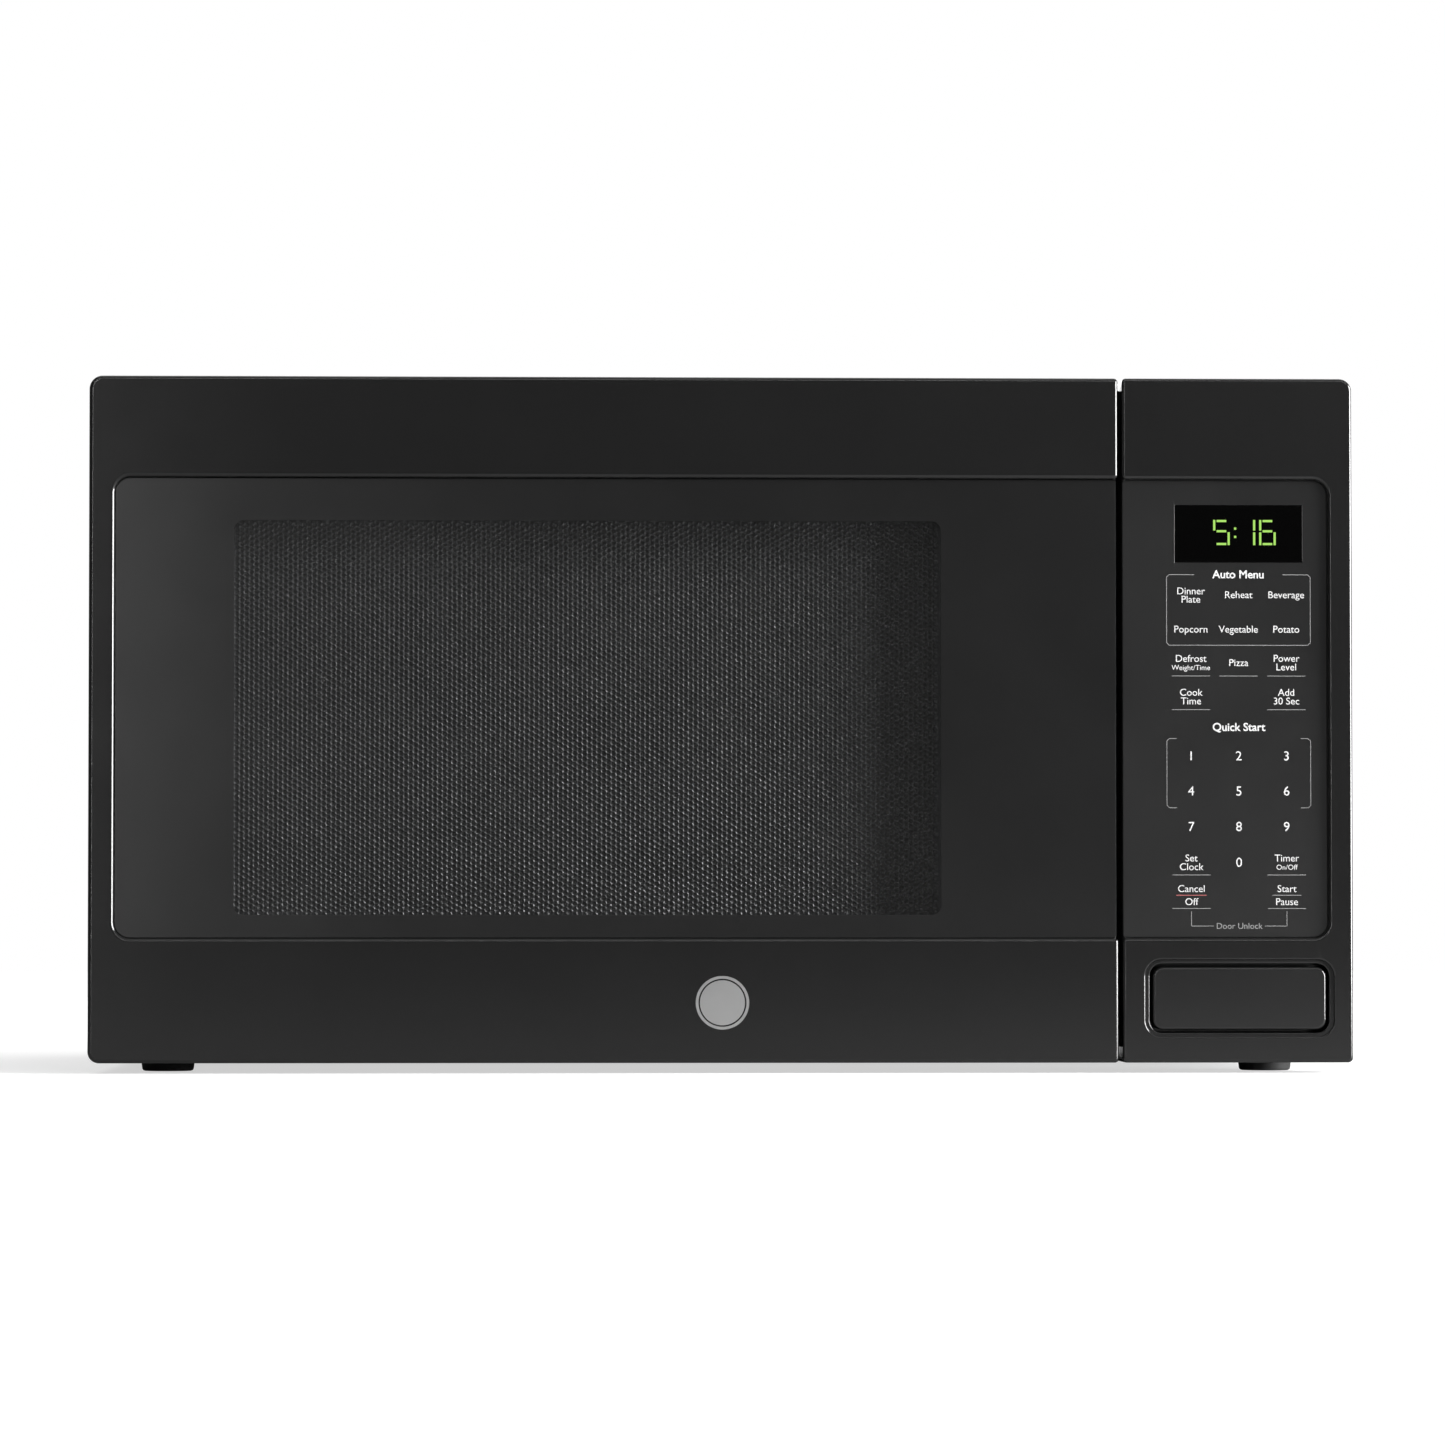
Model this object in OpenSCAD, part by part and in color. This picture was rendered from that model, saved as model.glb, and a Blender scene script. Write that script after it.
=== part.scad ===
// Countertop microwave oven: door on the left, control panel on the right.
// Origin: centre of the footprint, on the counter. The front faces -Y, +X is right, +Z is up.

/* [Case] */
// Width over the door and the control panel
case_w = 610; // [508:1:732]
// Depth from the door's face to the rear spacers
case_d = 495; // [412:1:594]
// Height of the front above the counter
case_h = 336; // [280:1:404]
// Height of the front's lower edge above the counter
fascia_lift = 5; // [4:0.5:8]
// Height of the feet
foot_h = 12; // [10:0.5:16]
// Radius of a foot
foot_r = 14; // [10:0.5:18]
// Steel sheet thickness
sheet_t = 0.8; // [0.6:0.1:1.2]
// How far the wrap's side sits inside the front's side
wrap_inset = 2; // [1.5:0.5:4]
// How far the wrap's top sits below the front's top
wrap_drop = 3; // [2:0.5:6]
// Radius of the wrap's top edges
wrap_edge_r = 8; // [4:1:12]
// Length of the rear spacers
spacer_l = 8.5; // [6:0.5:15]

/* [Door] */
// Door thickness, front face to rear plane
door_t = 36; // [34:0.5:43.5]
// Gap between the door and the control panel
door_gap = 1.9; // [1.5:0.1:3]
// Clearance between the closed door and the front frame
door_clear = 1.5; // [1.2:0.1:3]
// Radius of the front's outer corners
corner_r = 6; // [3:0.5:9]
// Moulded wall thickness of the door and panel fascias
mould_t = 2.5; // [2:0.1:3]
// Depth of the shared recess below the bands
recess_d = 3; // [1.5:0.5:4]
// Thickness of the window sheet
window_t = 3; // [2:0.5:4]
// Height of the upper band
band_top = 48.9; // [35:0.1:59]
// Height of the lower band
band_low = 60; // [50:0.5:66]
// Width of the side bands
band_side = 12.3; // [9:0.1:16]
// Radius of the recess corners
recess_r = 7.7; // [4:0.1:12]
// Radius of the badge
badge_r = 13; // [9:0.5:16]

/* [Hinge] */
// Hinge axis, in from the door's left side
hinge_in = 8; // [7:0.5:10]
// Hinge axis, forward of the door's rear plane
hinge_fwd = 12; // [10:0.5:13]
// Hinge pin radius
pin_r = 3; // [2:0.1:3.5]
// Thickness of the hinge plates
arm_t = 2; // [1.5:0.1:2.5]
// Radial clearance of the turning shafts
run_clear = 0.05; // [0.03:0.01:0.1]
// Rounding of the door's rear left edge
rear_edge_r = 6; // [5:0.5:7]

/* [Control panel] */
// Width of the control panel
panel_w = 111.6; // [104:0.2:134]
// Display window width
display_w = 62.2; // [50:0.2:70]
// Display window height
display_h = 27.9; // [20:0.1:32]
// Release button width
button_w = 84.1; // [70:0.1:84.5]
// Release button height
button_h = 30.3; // [24:0.1:31]
// Gap round the release button
button_gap = 1.6; // [1:0.1:2]
// Travel of the release button
button_travel = 5; // [3:0.5:5]

/* [Cavity] */
// Cavity side, in from the door's left side
cavity_side = 23; // [23:1:40]
// Component bay wall, left of the control panel
bay_side = 43.4; // [43:0.1:50]
// Cavity floor above the base plate's underside
floor_gap = 30; // [30:1:45]
// Cavity roof below the front's top
roof_gap = 37; // [37:1:50]
// Space behind the cavity
back_gap = 27; // [20:1:60]
// Glass tray, clear of the nearest cavity wall
tray_clear = 10; // [8:1:40]
// Thickness of the glass tray
tray_t = 5; // [4:0.5:7]
// Height of the tray's rim
rim_h = 12; // [8:1:16]
// Radius of the rollers
roller_r = 7; // [6:0.5:8]
// Rolling radius of the rollers
ring_r = 140; // [100:1:150]

/* [Power parts] */
// Fan blade tip radius
fan_r = 55; // [45:1:58]
// Transformer core width
core_w = 96; // [80:1:98]
// Transformer core height
core_h = 80; // [70:1:90]
// Capacitor height
cap_h = 85; // [70:1:95]
// Magnetron yoke height and depth
yoke_s = 80; // [74:1:84]

/* [Hidden] */
$fn = 48;
cut = 1;                 // how far a cutting solid runs past a face
gap = 0.3;               // clearance between pieces that move past each other
seam = 0.4;              // joint between a sheet's edge and a bent corner

// Planes of the front and the case
left = -case_w / 2;
right = case_w / 2;
front = -case_d / 2;
low = fascia_lift;
door_back = front + door_t;
frame_y = door_back + door_clear;
frame_back = frame_y + sheet_t;
rear_out = case_d / 2 - spacer_l;
rear_in = rear_out - sheet_t;
panel_x = right - panel_w;
door_x = panel_x - door_gap;
mid_z = (case_h + low) / 2;
wrap_x = case_w / 2 - wrap_inset;
wrap_top = case_h - wrap_drop;
bay_x = wrap_x - sheet_t;
bay_top = wrap_top - sheet_t;
base_z = foot_h + sheet_t;
base_top = base_z + sheet_t;

// Front features
recess_x0 = left + band_side;
recess_x1 = right - band_side + 0.7;
recess_z0 = low + band_low;
recess_z1 = case_h - band_top;
face_y = front + recess_d;
sheet_back = face_y + window_t;
wall_back = sheet_back + mould_t;
opening_x0 = left + 62;
opening_x1 = door_x - 78;
opening_z0 = recess_z0 + 4;
opening_z1 = recess_z1 - 12;
badge_t = 1;
badge_sink = 0.4;
badge_z = low + band_low * 0.483;
badge_x = left + case_w / 2;

// Rear panel
cord_x = wrap_x - 34;
cord_z = foot_h + 40;
cord_hole_r = 8;
cord_collar_r = 11;
cord_bore_r = 4;
spacer_r = 9;
spacer_in = 60;
spacer_drop = 45;
fan_slot_w = 80;
fan_slot_h = 3.5;
fan_slot_pitch = 8;
exhaust_slot_w = 5;
exhaust_slot_h = 18;
exhaust_slot_pitch = 11;

// Cavity
cav_x0 = left + cavity_side;
cav_x1 = panel_x - bay_side;
cav_y0 = frame_back;
cav_y1 = rear_in - back_gap;
cav_z0 = foot_h + floor_gap;
cav_z1 = case_h - roof_gap;
cav_w = cav_x1 - cav_x0;
cav_d = cav_y1 - cav_y0;
tray_x = (cav_x0 + cav_x1) / 2;
tray_y = (cav_y0 + cav_y1) / 2;
tray_r = min(cav_w, cav_d) / 2 - tray_clear;
wheel_r = min(ring_r, tray_r - 30);
tray_z = cav_z0 + 2 * roller_r + 2 * gap;
bay_x0 = cav_x1 + sheet_t;

// Hinges
hinge_x = left + hinge_in;
hinge_y = door_back - hinge_fwd;
arm_w = 10;
arm_slot = 0.5;
arm_z = case_h - 14;
boss_h = 8.7;
boss_z = arm_z - arm_slot - boss_h;
tab_h = 16;

// Door inside
choke_y0 = door_back - 15.5;
choke_y1 = door_back - 1.5;
cover_t = 1.5;
choke_x0 = cav_x0 - 15.5;
choke_x1 = cav_x1 + 17;
choke_z0 = cav_z0 - 13;
choke_z1 = cav_z1 + 13;
choke_in = 31;
choke_slot = 4;
choke_pitch = 22;

// Latch
hook_x = door_x - 14.5;
hook_t = 4;
hook_z = [cav_z0 + 30, cav_z1 - 35];
hook_h = 14;
nose_drop = 6;
nose_l = 10;
hook_y1 = frame_y + 24;
hook_lift = 0.8 * button_travel;
bar_y0 = door_back - 21;
bar_y1 = door_back - 11;
latch_spring_z = hook_z[1] + 12;
latch_spring_l = 16;
ledge_gap = 0.5;

// Release lever
lever_y = frame_y + 7;
lever_z = low + 49;
lever_r = 3;
button_x = (panel_x + right) / 2 + 0.75;
button_z = low + 31;
button_y = front + 1;
button_back = button_y + 13;
stem_w = 10;
stem_h = 4;
guide_y0 = front + 25.5;
guide_t = 2;

// Bay parts
mag_x0 = bay_x0 + 29;
mag_y = tray_y;
mag_z = cav_z1 - 54;
guide_w = 28;
anode_r = 20;
xf_x = bay_x0 + 16 + core_w / 2;
xf_y = tray_y - 30;
xf_z = base_top + 1.4;
fan_x = (bay_x0 + bay_x) / 2 + 1;
fan_z = mid_z + 12;
fan_half = fan_r + 10;
fan_y1 = rear_in - 4;
fan_y0 = fan_y1 - 30;
shaft_r = 2.5;
motor_y0 = fan_y0 - 39;
motor_t = 24;

// An axis-aligned block between two corners
module block(lo, hi) {
  translate(lo) cube(hi - lo);
}

// A flat outline in X and Z, given thickness from y0 to y1
module wall_y(y0, y1) {
  translate([0, y1, 0]) rotate([90, 0, 0]) linear_extrude(y1 - y0) children();
}

// A rectangle with its own radius at each corner: [low left, low right, top right, top left]
module round_rect(x0, z0, x1, z1, r) {
  polygon([
    [x0 + r[0], z0], [x1 - r[1], z0], [x1, z0 + r[1]], [x1, z1 - r[2]],
    [x1 - r[2], z1], [x0 + r[3], z1], [x0, z1 - r[3]], [x0, z0 + r[0]]
  ]);
  translate([x0 + r[0], z0 + r[0]]) circle(r[0]);
  translate([x1 - r[1], z0 + r[1]]) circle(r[1]);
  translate([x1 - r[2], z1 - r[2]]) circle(r[2]);
  translate([x0 + r[3], z1 - r[3]]) circle(r[3]);
}

// A cylinder along Y from y0 to y1
module rod_y(x, z, y0, y1, r) {
  translate([x, y1, z]) rotate([90, 0, 0]) cylinder(h = y1 - y0, r = r);
}

// A cylinder along X from x0 to x1
module rod_x(y, z, x0, x1, r) {
  translate([x0, y, z]) rotate([0, 90, 0]) cylinder(h = x1 - x0, r = r);
}

// A closed round-wire spring along +Z from the origin
module coil(r, wire_r, length, turns) {
  steps = 14;
  sides = 6;
  rings = turns * steps;
  rise = (length - 2 * wire_r) / rings;
  points = [
    for (i = [0 : rings]) for (j = [0 : sides - 1])
      let (a = 360 * i / steps, b = 360 * j / sides)
      [(r + wire_r * cos(b)) * cos(a), (r + wire_r * cos(b)) * sin(a),
       wire_r + rise * i + wire_r * sin(b)]
  ];
  skin = [
    for (i = [0 : rings - 1]) for (j = [0 : sides - 1])
      let (k = (j + 1) % sides)
      [i * sides + j, (i + 1) * sides + j, (i + 1) * sides + k, i * sides + k]
  ];
  first = [for (j = [0 : sides - 1]) j];
  last = [for (j = [sides - 1 : -1 : 0]) rings * sides + j];
  polyhedron(points = points, faces = concat(skin, [first, last]));
}

// The case's outline, seen from the front
module case_outline(inset) {
  r = wrap_edge_r - inset;
  round_rect(inset - wrap_x, foot_h + inset, wrap_x - inset, wrap_top - inset, [seam, seam, r, r]);
}

// ---- Case ----

// Louvre slots through a side wall
module side_vents(x, y_mid, z_mid, rows, columns) {
  for (i = [0 : rows - 1])
    for (j = [0 : columns - 1])
      translate([x - 3, y_mid + (j - (columns - 1) / 2) * 30 - 12, z_mid + (i - (rows - 1) / 2) * 8])
        cube([6, 24, 3.2]);
}

module cabinet_wrap() {
  color("#202020")
  difference() {
    wall_y(frame_back, rear_in) case_outline(0);
    difference() {
      wall_y(frame_back - cut, rear_in + cut) case_outline(sheet_t);
    }
    block([12 - wrap_x, frame_back - cut, foot_h - cut], [wrap_x - 12, rear_in + cut, base_z + cut]);
    side_vents(wrap_x, rear_in - 75, mid_z + 20, 9, 3);
    side_vents(-wrap_x, rear_in - 75, mid_z + 20, 9, 3);
  }
}

module base_plate() {
  color("#b8bcc0")
  difference() {
    block([seam - bay_x, frame_back, base_z], [bay_x - seam, rear_in, base_top]);
    for (i = [0 : 9])
      block([bay_x0 + 12 + i * 12, xf_y + 55, base_z - cut],
            [bay_x0 + 17 + i * 12, xf_y + 95, base_top + cut]);
  }
}

module rear_panel() {
  color("#b0b4b8")
  difference() {
    union() {
      wall_y(rear_in, rear_out) case_outline(0);
      for (x = [spacer_in - wrap_x, wrap_x - spacer_in])
        rod_y(x, wrap_top - spacer_drop, rear_out - 0.01, case_d / 2, spacer_r);
    }
    for (i = [0 : 10])
      translate([fan_x - fan_slot_w / 2, rear_in - cut, fan_z - 42 + i * fan_slot_pitch])
        cube([fan_slot_w, sheet_t + 2 * cut, fan_slot_h]);
    for (i = [0 : 7])
      translate([cav_x0 + 42 + i * exhaust_slot_pitch, rear_in - cut, cav_z1 + 6])
        cube([exhaust_slot_w, sheet_t + 2 * cut, exhaust_slot_h]);
    rod_y(cord_x, cord_z, rear_in - cut, rear_out + cut, cord_hole_r);
  }
}

foot_x = wrap_x - 33;
foot_y = [frame_back + 30, rear_in - 35];

module feet() {
  color("#1a1a1a")
  for (x = [-foot_x, foot_x])
    for (y = foot_y)
      translate([x, y, 0]) cylinder(h = foot_h, r1 = foot_r - 1.5, r2 = foot_r);
}

screw_z = [foot_h + 14, wrap_top - 14];
screw_x = [-wrap_x + 14, -70, wrap_x - 14];

module screws() {
  color("#8f9499") {
    for (x = screw_x) for (z = screw_z)
      rod_y(x, z, rear_out, rear_out + 2.2, 4);
    for (z = [arm_z - 8, 2 * mid_z - arm_z + 8])
      for (s = [-1, 1])
        rod_y(hinge_x + 14 + s * 4.5, z, frame_back + arm_t, frame_back + arm_t + 2, 3);
  }
}

module cord_bush() {
  color("#161616")
  difference() {
    union() {
      rod_y(cord_x, cord_z, rear_in - 4, rear_out + 5, cord_hole_r - 0.05);
      rod_y(cord_x, cord_z, rear_out + 0.05, rear_out + 3, cord_collar_r);
    }
    rod_y(cord_x, cord_z, rear_in - 5, rear_out + 6, cord_bore_r);
  }
}

// ---- Front frame and cavity ----

// Height of each hinge plate's middle, mirrored about the door's mid height
function hinge_level(upper) = upper ? arm_z + arm_t / 2 : 2 * mid_z - arm_z - arm_t / 2;

module front_frame() {
  color("#1d1d1e")
  difference() {
    union() {
      wall_y(frame_y, frame_back) case_outline(0);
      for (x = [-bay_x, bay_x - sheet_t])
        block([x, frame_y, 2 * mid_z - arm_z + tab_h + 2],
              [x + sheet_t, frame_back + 10, arm_z - tab_h - 2]);
    }
    block([cav_x0, frame_y - cut, cav_z0], [cav_x1, frame_back + cut, cav_z1]);
    for (z = hook_z)
      block([hook_x - 1.5, frame_y - cut, z - nose_drop - 2],
            [hook_x + hook_t + 3.5, frame_back + cut, z + hook_h - nose_drop + hook_lift + 2]);
    for (upper = [true, false])
      block([hinge_x - arm_w / 2 - 0.2, frame_y - cut, hinge_level(upper) - arm_t / 2 - 0.2],
            [hinge_x + arm_w / 2 + 0.2, frame_back + cut, hinge_level(upper) + arm_t / 2 + 0.2]);
    block([panel_x + 12, frame_y - cut, low + 13], [right - 12, frame_back + cut, low + 53]);
    block([panel_x + 12, frame_y - cut, recess_z0 + 8], [right - 12, frame_back + cut, recess_z1]);
  }
}

module cavity_liner() {
  t = sheet_t;
  color("#a5a39c")
  difference() {
    block([cav_x0 - t, cav_y0, cav_z0 - t], [cav_x1 + t, cav_y1 + t, cav_z1 + t]);
    block([cav_x0, cav_y0 - cut, cav_z0], [cav_x1, cav_y1, cav_z1]);
    translate([tray_x, tray_y, cav_z0 - t - cut]) cylinder(h = t + 2 * cut, r = 8);
    block([cav_x1 - cut, mag_y - 42, mag_z - 32], [cav_x1 + t + cut, mag_y + 42, mag_z + 32]);
    for (i = [0 : 4]) for (j = [0 : 3])
      rod_x(mag_y - 92 + i * 6, mag_z + 4 + j * 6, cav_x1 - cut, cav_x1 + t + cut, 1.8);
    for (i = [0 : 5]) for (j = [0 : 3])
      translate([cav_x0 + 50 + i * 7, cav_y1 - 45 + j * 7, cav_z1 - cut])
        cylinder(h = t + 2 * cut, r = 2);
  }
}

module wave_inlet_cover() {
  color("#d8cfae")
  block([cav_x1 - 0.5, mag_y - 48, mag_z - 38], [cav_x1, mag_y + 48, mag_z + 38]);
}

module waveguide() {
  t = sheet_t;
  color("#aab0b4")
  difference() {
    block([bay_x0, mag_y - 46, mag_z - 40], [bay_x0 + guide_w, mag_y + 46, mag_z + 40]);
    block([bay_x0 - cut, mag_y - 46 + t, mag_z - 40 + t],
          [bay_x0 + guide_w - t, mag_y + 46 - t, mag_z + 40 - t]);
    rod_x(mag_y, mag_z, bay_x0 + guide_w - 2, bay_x0 + guide_w + cut, 16);
  }
}

// ---- Microwave and power parts ----

module magnetron() {
  h = yoke_s / 2;
  t = 2;
  color("#a8adb2")
  difference() {
    union() {
      difference() {
        block([mag_x0, mag_y - h, mag_z - h], [mag_x0 + 55, mag_y + h, mag_z + h]);
        block([mag_x0 + t, mag_y - h - cut, mag_z - h + t],
              [mag_x0 + 55 - t, mag_y + h + cut, mag_z + h - t]);
      }
      rod_x(mag_y, mag_z, mag_x0 + 1, mag_x0 + 54, anode_r);
      rod_x(mag_y, mag_z, mag_x0 + 1, mag_x0 + 10, 27);
      rod_x(mag_y, mag_z, mag_x0 + 45, mag_x0 + 54, 27);
      rod_x(mag_y, mag_z, mag_x0 - 22, mag_x0 + 2, 7.5);
    }
    rod_x(mag_y, mag_z, mag_x0 - 23, mag_x0 - 12, 5);
  }
}

module magnetron_fins() {
  h = yoke_s / 2 - 3;
  color("#c4c8cc")
  for (i = [0 : 5])
    difference() {
      block([mag_x0 + 13.5 + i * 5.4, mag_y - h, mag_z - h],
            [mag_x0 + 14.2 + i * 5.4, mag_y + h, mag_z + h]);
      rod_x(mag_y, mag_z, mag_x0 + 10, mag_x0 + 45, anode_r + 0.05);
    }
}

module magnetron_filter_box() {
  color("#b4b9bd")
  difference() {
    block([mag_x0 + 55, mag_y - 28, mag_z - 28], [mag_x0 + 78, mag_y + 28, mag_z + 28]);
    block([mag_x0 + 55 - cut, mag_y - 27, mag_z - 27], [mag_x0 + 77, mag_y + 27, mag_z + 27]);
  }
}

leg_w = core_w / 6;

module transformer_core() {
  color("#55585c")
  translate([xf_x, xf_y, xf_z])
  difference() {
    union() {
      block([-core_w / 2, -24, 0], [core_w / 2, 24, core_h]);
      block([-core_w / 2 - 4, -38, 0 - 1.4], [core_w / 2 + 4, 38, 0]);
    }
    for (s = [-1, 1])
      translate([s * leg_w * 1.5, 0, core_h / 2]) cube([leg_w, 50, core_h - 2 * leg_w], center = true);
  }
}

module transformer_windings() {
  color("#8a4b22")
  for (level = [0, 1])
    translate([xf_x, xf_y, xf_z + leg_w + 2 + level * (core_h / 2 - leg_w)])
    difference() {
      block([0.4 - 2 * leg_w, -38, 0], [2 * leg_w - 0.4, 38, core_h / 2 - leg_w - 4]);
      block([-leg_w - 0.2, -24.2, -cut], [leg_w + 0.2, 24.2, core_h / 2]);
    }
}

cap_x = min(xf_x + core_w / 2 + 21, bay_x - 17);
cap_y = xf_y + 70;

module capacitor_outline(grow) {
  square([28 + 2 * grow, 24], center = true);
  for (s = [-1, 1])
    translate([0, s * 12]) circle(14 + grow);
}

module capacitor() {
  color("#b9bdc1") {
    translate([cap_x, cap_y, base_top]) linear_extrude(cap_h) capacitor_outline(0);
    for (s = [-1, 1])
      translate([cap_x, cap_y + s * 10, base_top + cap_h]) cylinder(h = 6, r = 3);
  }
}

module capacitor_strap() {
  color("#9aa0a4")
  translate([cap_x, cap_y, base_top + cap_h / 2])
  difference() {
    union() {
      linear_extrude(14) capacitor_outline(1);
      block([-15, -4, -cap_h / 2], [-14, 4, 2]);
    }
    translate([0, 0, -cap_h]) linear_extrude(2 * cap_h) capacitor_outline(0.05);
  }
}

module diode() {
  color("#2b2b2b")
  translate([cap_x, cap_y, base_top + cap_h + 6])
  union() {
    block([-3.5, -10, 0], [3.5, 10, 6]);
    block([-2.5, 9.9, 2], [2.5, 18, 3.2]);
  }
}

// ---- Cooling and air ----

module fan_motor() {
  color("#70757a")
  difference() {
    union() {
      block([fan_x - 30, motor_y0 + 4, fan_z - 22], [fan_x + 30, motor_y0 + 18, fan_z + 22]);
      block([fan_x + 12, motor_y0, fan_z - 16], [fan_x + 29, motor_y0 + 22, fan_z + 16]);
      rod_y(fan_x, fan_z, motor_y0, motor_y0 + motor_t, 11);
    }
    rod_y(fan_x, fan_z, motor_y0 + 3, motor_y0 + motor_t + cut, shaft_r + run_clear);
  }
}

module fan_shroud() {
  bore = fan_r + 3;
  color("#dfe0de")
  difference() {
    union() {
      block([fan_x - fan_half, fan_y0, fan_z - fan_half], [fan_x + fan_half, fan_y1, fan_z + fan_half]);
      block([fan_x - fan_half + 3, fan_y0 - 3, fan_z - 6], [fan_x + fan_half - 3, fan_y0 + 0.5, fan_z + 6]);
      for (s = [-1, 1])
        block([fan_x + s * 27 - 2.5, motor_y0 + 18, fan_z - 6],
              [fan_x + s * 27 + 2.5, fan_y0 - 2.5, fan_z + 6]);
    }
    rod_y(fan_x, fan_z, fan_y0 + 2, fan_y1 + cut, bore);
    difference() {
      rod_y(fan_x, fan_z, fan_y0 - cut, fan_y0 + 3, bore - 8);
      block([fan_x - bore, fan_y0 - 4, fan_z - 6], [fan_x + bore, fan_y0 + 0.5, fan_z + 6]);
    }
    block([fan_x + 11.8, motor_y0 - cut, fan_z - 16.2], [fan_x + 29.2, motor_y0 + 22.2, fan_z + 16.2]);
    rod_y(fan_x, fan_z, fan_y0 - 4, fan_y0 + 3, shaft_r + 3);
  }
}

module fan_blade() {
  y0 = fan_y0 + 6;
  color("#e8e8e6")
  union() {
    rod_y(fan_x, fan_z, motor_y0 + 5, y0 + 4, shaft_r);
    rod_y(fan_x, fan_z, y0, y0 + 16, 13);
    for (i = [0 : 4])
      translate([fan_x, y0 + 8, fan_z]) rotate([0, i * 72, 0]) rotate([0, 0, 24])
        intersection() {
          block([-16, -0.8, 10], [16, 0.8, fan_r - 1]);
          translate([0, 20, 0]) rotate([90, 0, 0]) cylinder(h = 40, r = fan_r - 1);
        }
  }
}

module air_duct() {
  y0 = mag_y + yoke_s / 2 + 4;
  y1 = motor_y0 - 6;
  x1 = min(mag_x0 + 72, bay_x - 2);
  color("#d6d4cc")
  difference() {
    block([mag_x0 + 1, y0, mag_z - 38], [x1, y1, mag_z + 38]);
    block([mag_x0 + 2.5, y0 - cut, mag_z - 36.5], [x1 - 1.5, y1 + cut, mag_z + 36.5]);
  }
}

module exhaust_duct() {
  z0 = cav_z1 + sheet_t;
  color("#d6d4cc")
  difference() {
    block([cav_x0 + 32, cav_y1 - 60, z0], [cav_x0 + 132, rear_in, z0 + 28]);
    block([cav_x0 + 33.5, cav_y1 - 58.5, z0 - cut], [cav_x0 + 130.5, rear_in + cut, z0 + 26.5]);
    block([cav_x0 + 34, cav_y1 + sheet_t, z0 - cut], [cav_x0 + 130, rear_in + cut, z0 + cut]);
  }
}

module lamp_housing() {
  color("#e4e2da")
  difference() {
    block([bay_x0, mag_y - 100, mag_z - 8], [bay_x0 + 30, mag_y - 60, mag_z + 32]);
    block([bay_x0 - cut, mag_y - 98, mag_z - 6], [bay_x0 + 28, mag_y - 62, mag_z + 30]);
    rod_x(mag_y - 80, mag_z + 12, bay_x0 + 25, bay_x0 + 33, 5.05);
  }
}

module lamp() {
  color("#f4efdc")
  union() {
    rod_x(mag_y - 80, mag_z + 12, bay_x0 + 8, bay_x0 + 22, 8);
    rod_x(mag_y - 80, mag_z + 12, bay_x0 + 21, bay_x0 + 34, 5);
  }
}

module humidity_sensor() {
  color("#c8ccd0")
  translate([cav_x0 + 150, cav_y1 - 30, cav_z1 + sheet_t]) {
    cylinder(h = 9, r = 8);
    translate([0, 0, 9]) cylinder(h = 3, r = 5);
  }
}

module thermal_cutouts() {
  color("#3a3a3c") {
    translate([tray_x, tray_y, cav_z1 + sheet_t]) cylinder(h = 7, r = 8);
    translate([mag_x0 + 28, mag_y, mag_z + yoke_s / 2]) cylinder(h = 6, r = 8);
  }
}

// ---- Turntable ----

motor_h = 14;

module turntable_motor() {
  z1 = cav_z0 - sheet_t;
  color("#b8bcc0")
  difference() {
    union() {
      translate([tray_x, tray_y, z1 - motor_h]) cylinder(h = motor_h, r = 25);
      block([tray_x - 33, tray_y - 6, z1 - 1.2], [tray_x + 33, tray_y + 6, z1]);
    }
    translate([tray_x, tray_y, z1 - 9]) cylinder(h = 10, r = shaft_r + run_clear);
  }
}

module drive_hub() {
  color("#c9b98a")
  translate([tray_x, tray_y, 0])
  union() {
    translate([0, 0, cav_z0 - sheet_t - 8]) cylinder(h = 10, r = shaft_r);
    translate([0, 0, cav_z0 + gap]) cylinder(h = 2 * roller_r, r = 9);
    for (i = [0 : 2])
      rotate(i * 120) block([0, -3.5, cav_z0 + 6], [17, 3.5, cav_z0 + gap + 2 * roller_r]);
  }
}

module glass_tray() {
  z = tray_z;
  r = tray_r;
  color("#cfe0e0")
  translate([tray_x, tray_y, 0]) {
    rotate_extrude($fn = 96)
      polygon([
        [0, z], [r - 22, z], [r, z + rim_h], [r, z + rim_h + 3],
        [r - 4, z + rim_h + 3], [r - 24, z + tray_t], [0, z + tray_t]
      ]);
    for (i = [0 : 2])
      rotate(60 + i * 120) block([11, -5, z - 5], [19, 5, z + 0.5]);
  }
}

hoop_r = wheel_r - 14;
wheel_z = cav_z0 + gap + roller_r;
axle_r = 2;
wheel_w = 8;

module roller_ring() {
  color("#e6e2d4")
  translate([tray_x, tray_y, 0])
  union() {
    difference() {
      translate([0, 0, wheel_z - 4]) cylinder(h = 8, r = hoop_r + 2, $fn = 96);
      translate([0, 0, wheel_z - 5]) cylinder(h = 10, r = hoop_r - 2, $fn = 96);
    }
    for (i = [0 : 2])
      rotate(i * 120) {
        rod_x(0, wheel_z, hoop_r, wheel_r + wheel_w / 2 + 2, axle_r);
        rod_x(0, wheel_z, wheel_r + wheel_w / 2 + 0.5, wheel_r + wheel_w / 2 + 2, axle_r + 1.2);
      }
  }
}

module roller(i) {
  color("#efece0")
  translate([tray_x, tray_y, 0]) rotate(i * 120)
  difference() {
    rod_x(0, wheel_z, wheel_r - wheel_w / 2, wheel_r + wheel_w / 2, roller_r);
    rod_x(0, wheel_z, wheel_r - wheel_w, wheel_r + wheel_w, axle_r + run_clear);
  }
}

module roller_a() { roller(0); }
module roller_b() { roller(1); }
module roller_c() { roller(2); }

// ---- Control panel ----

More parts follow.
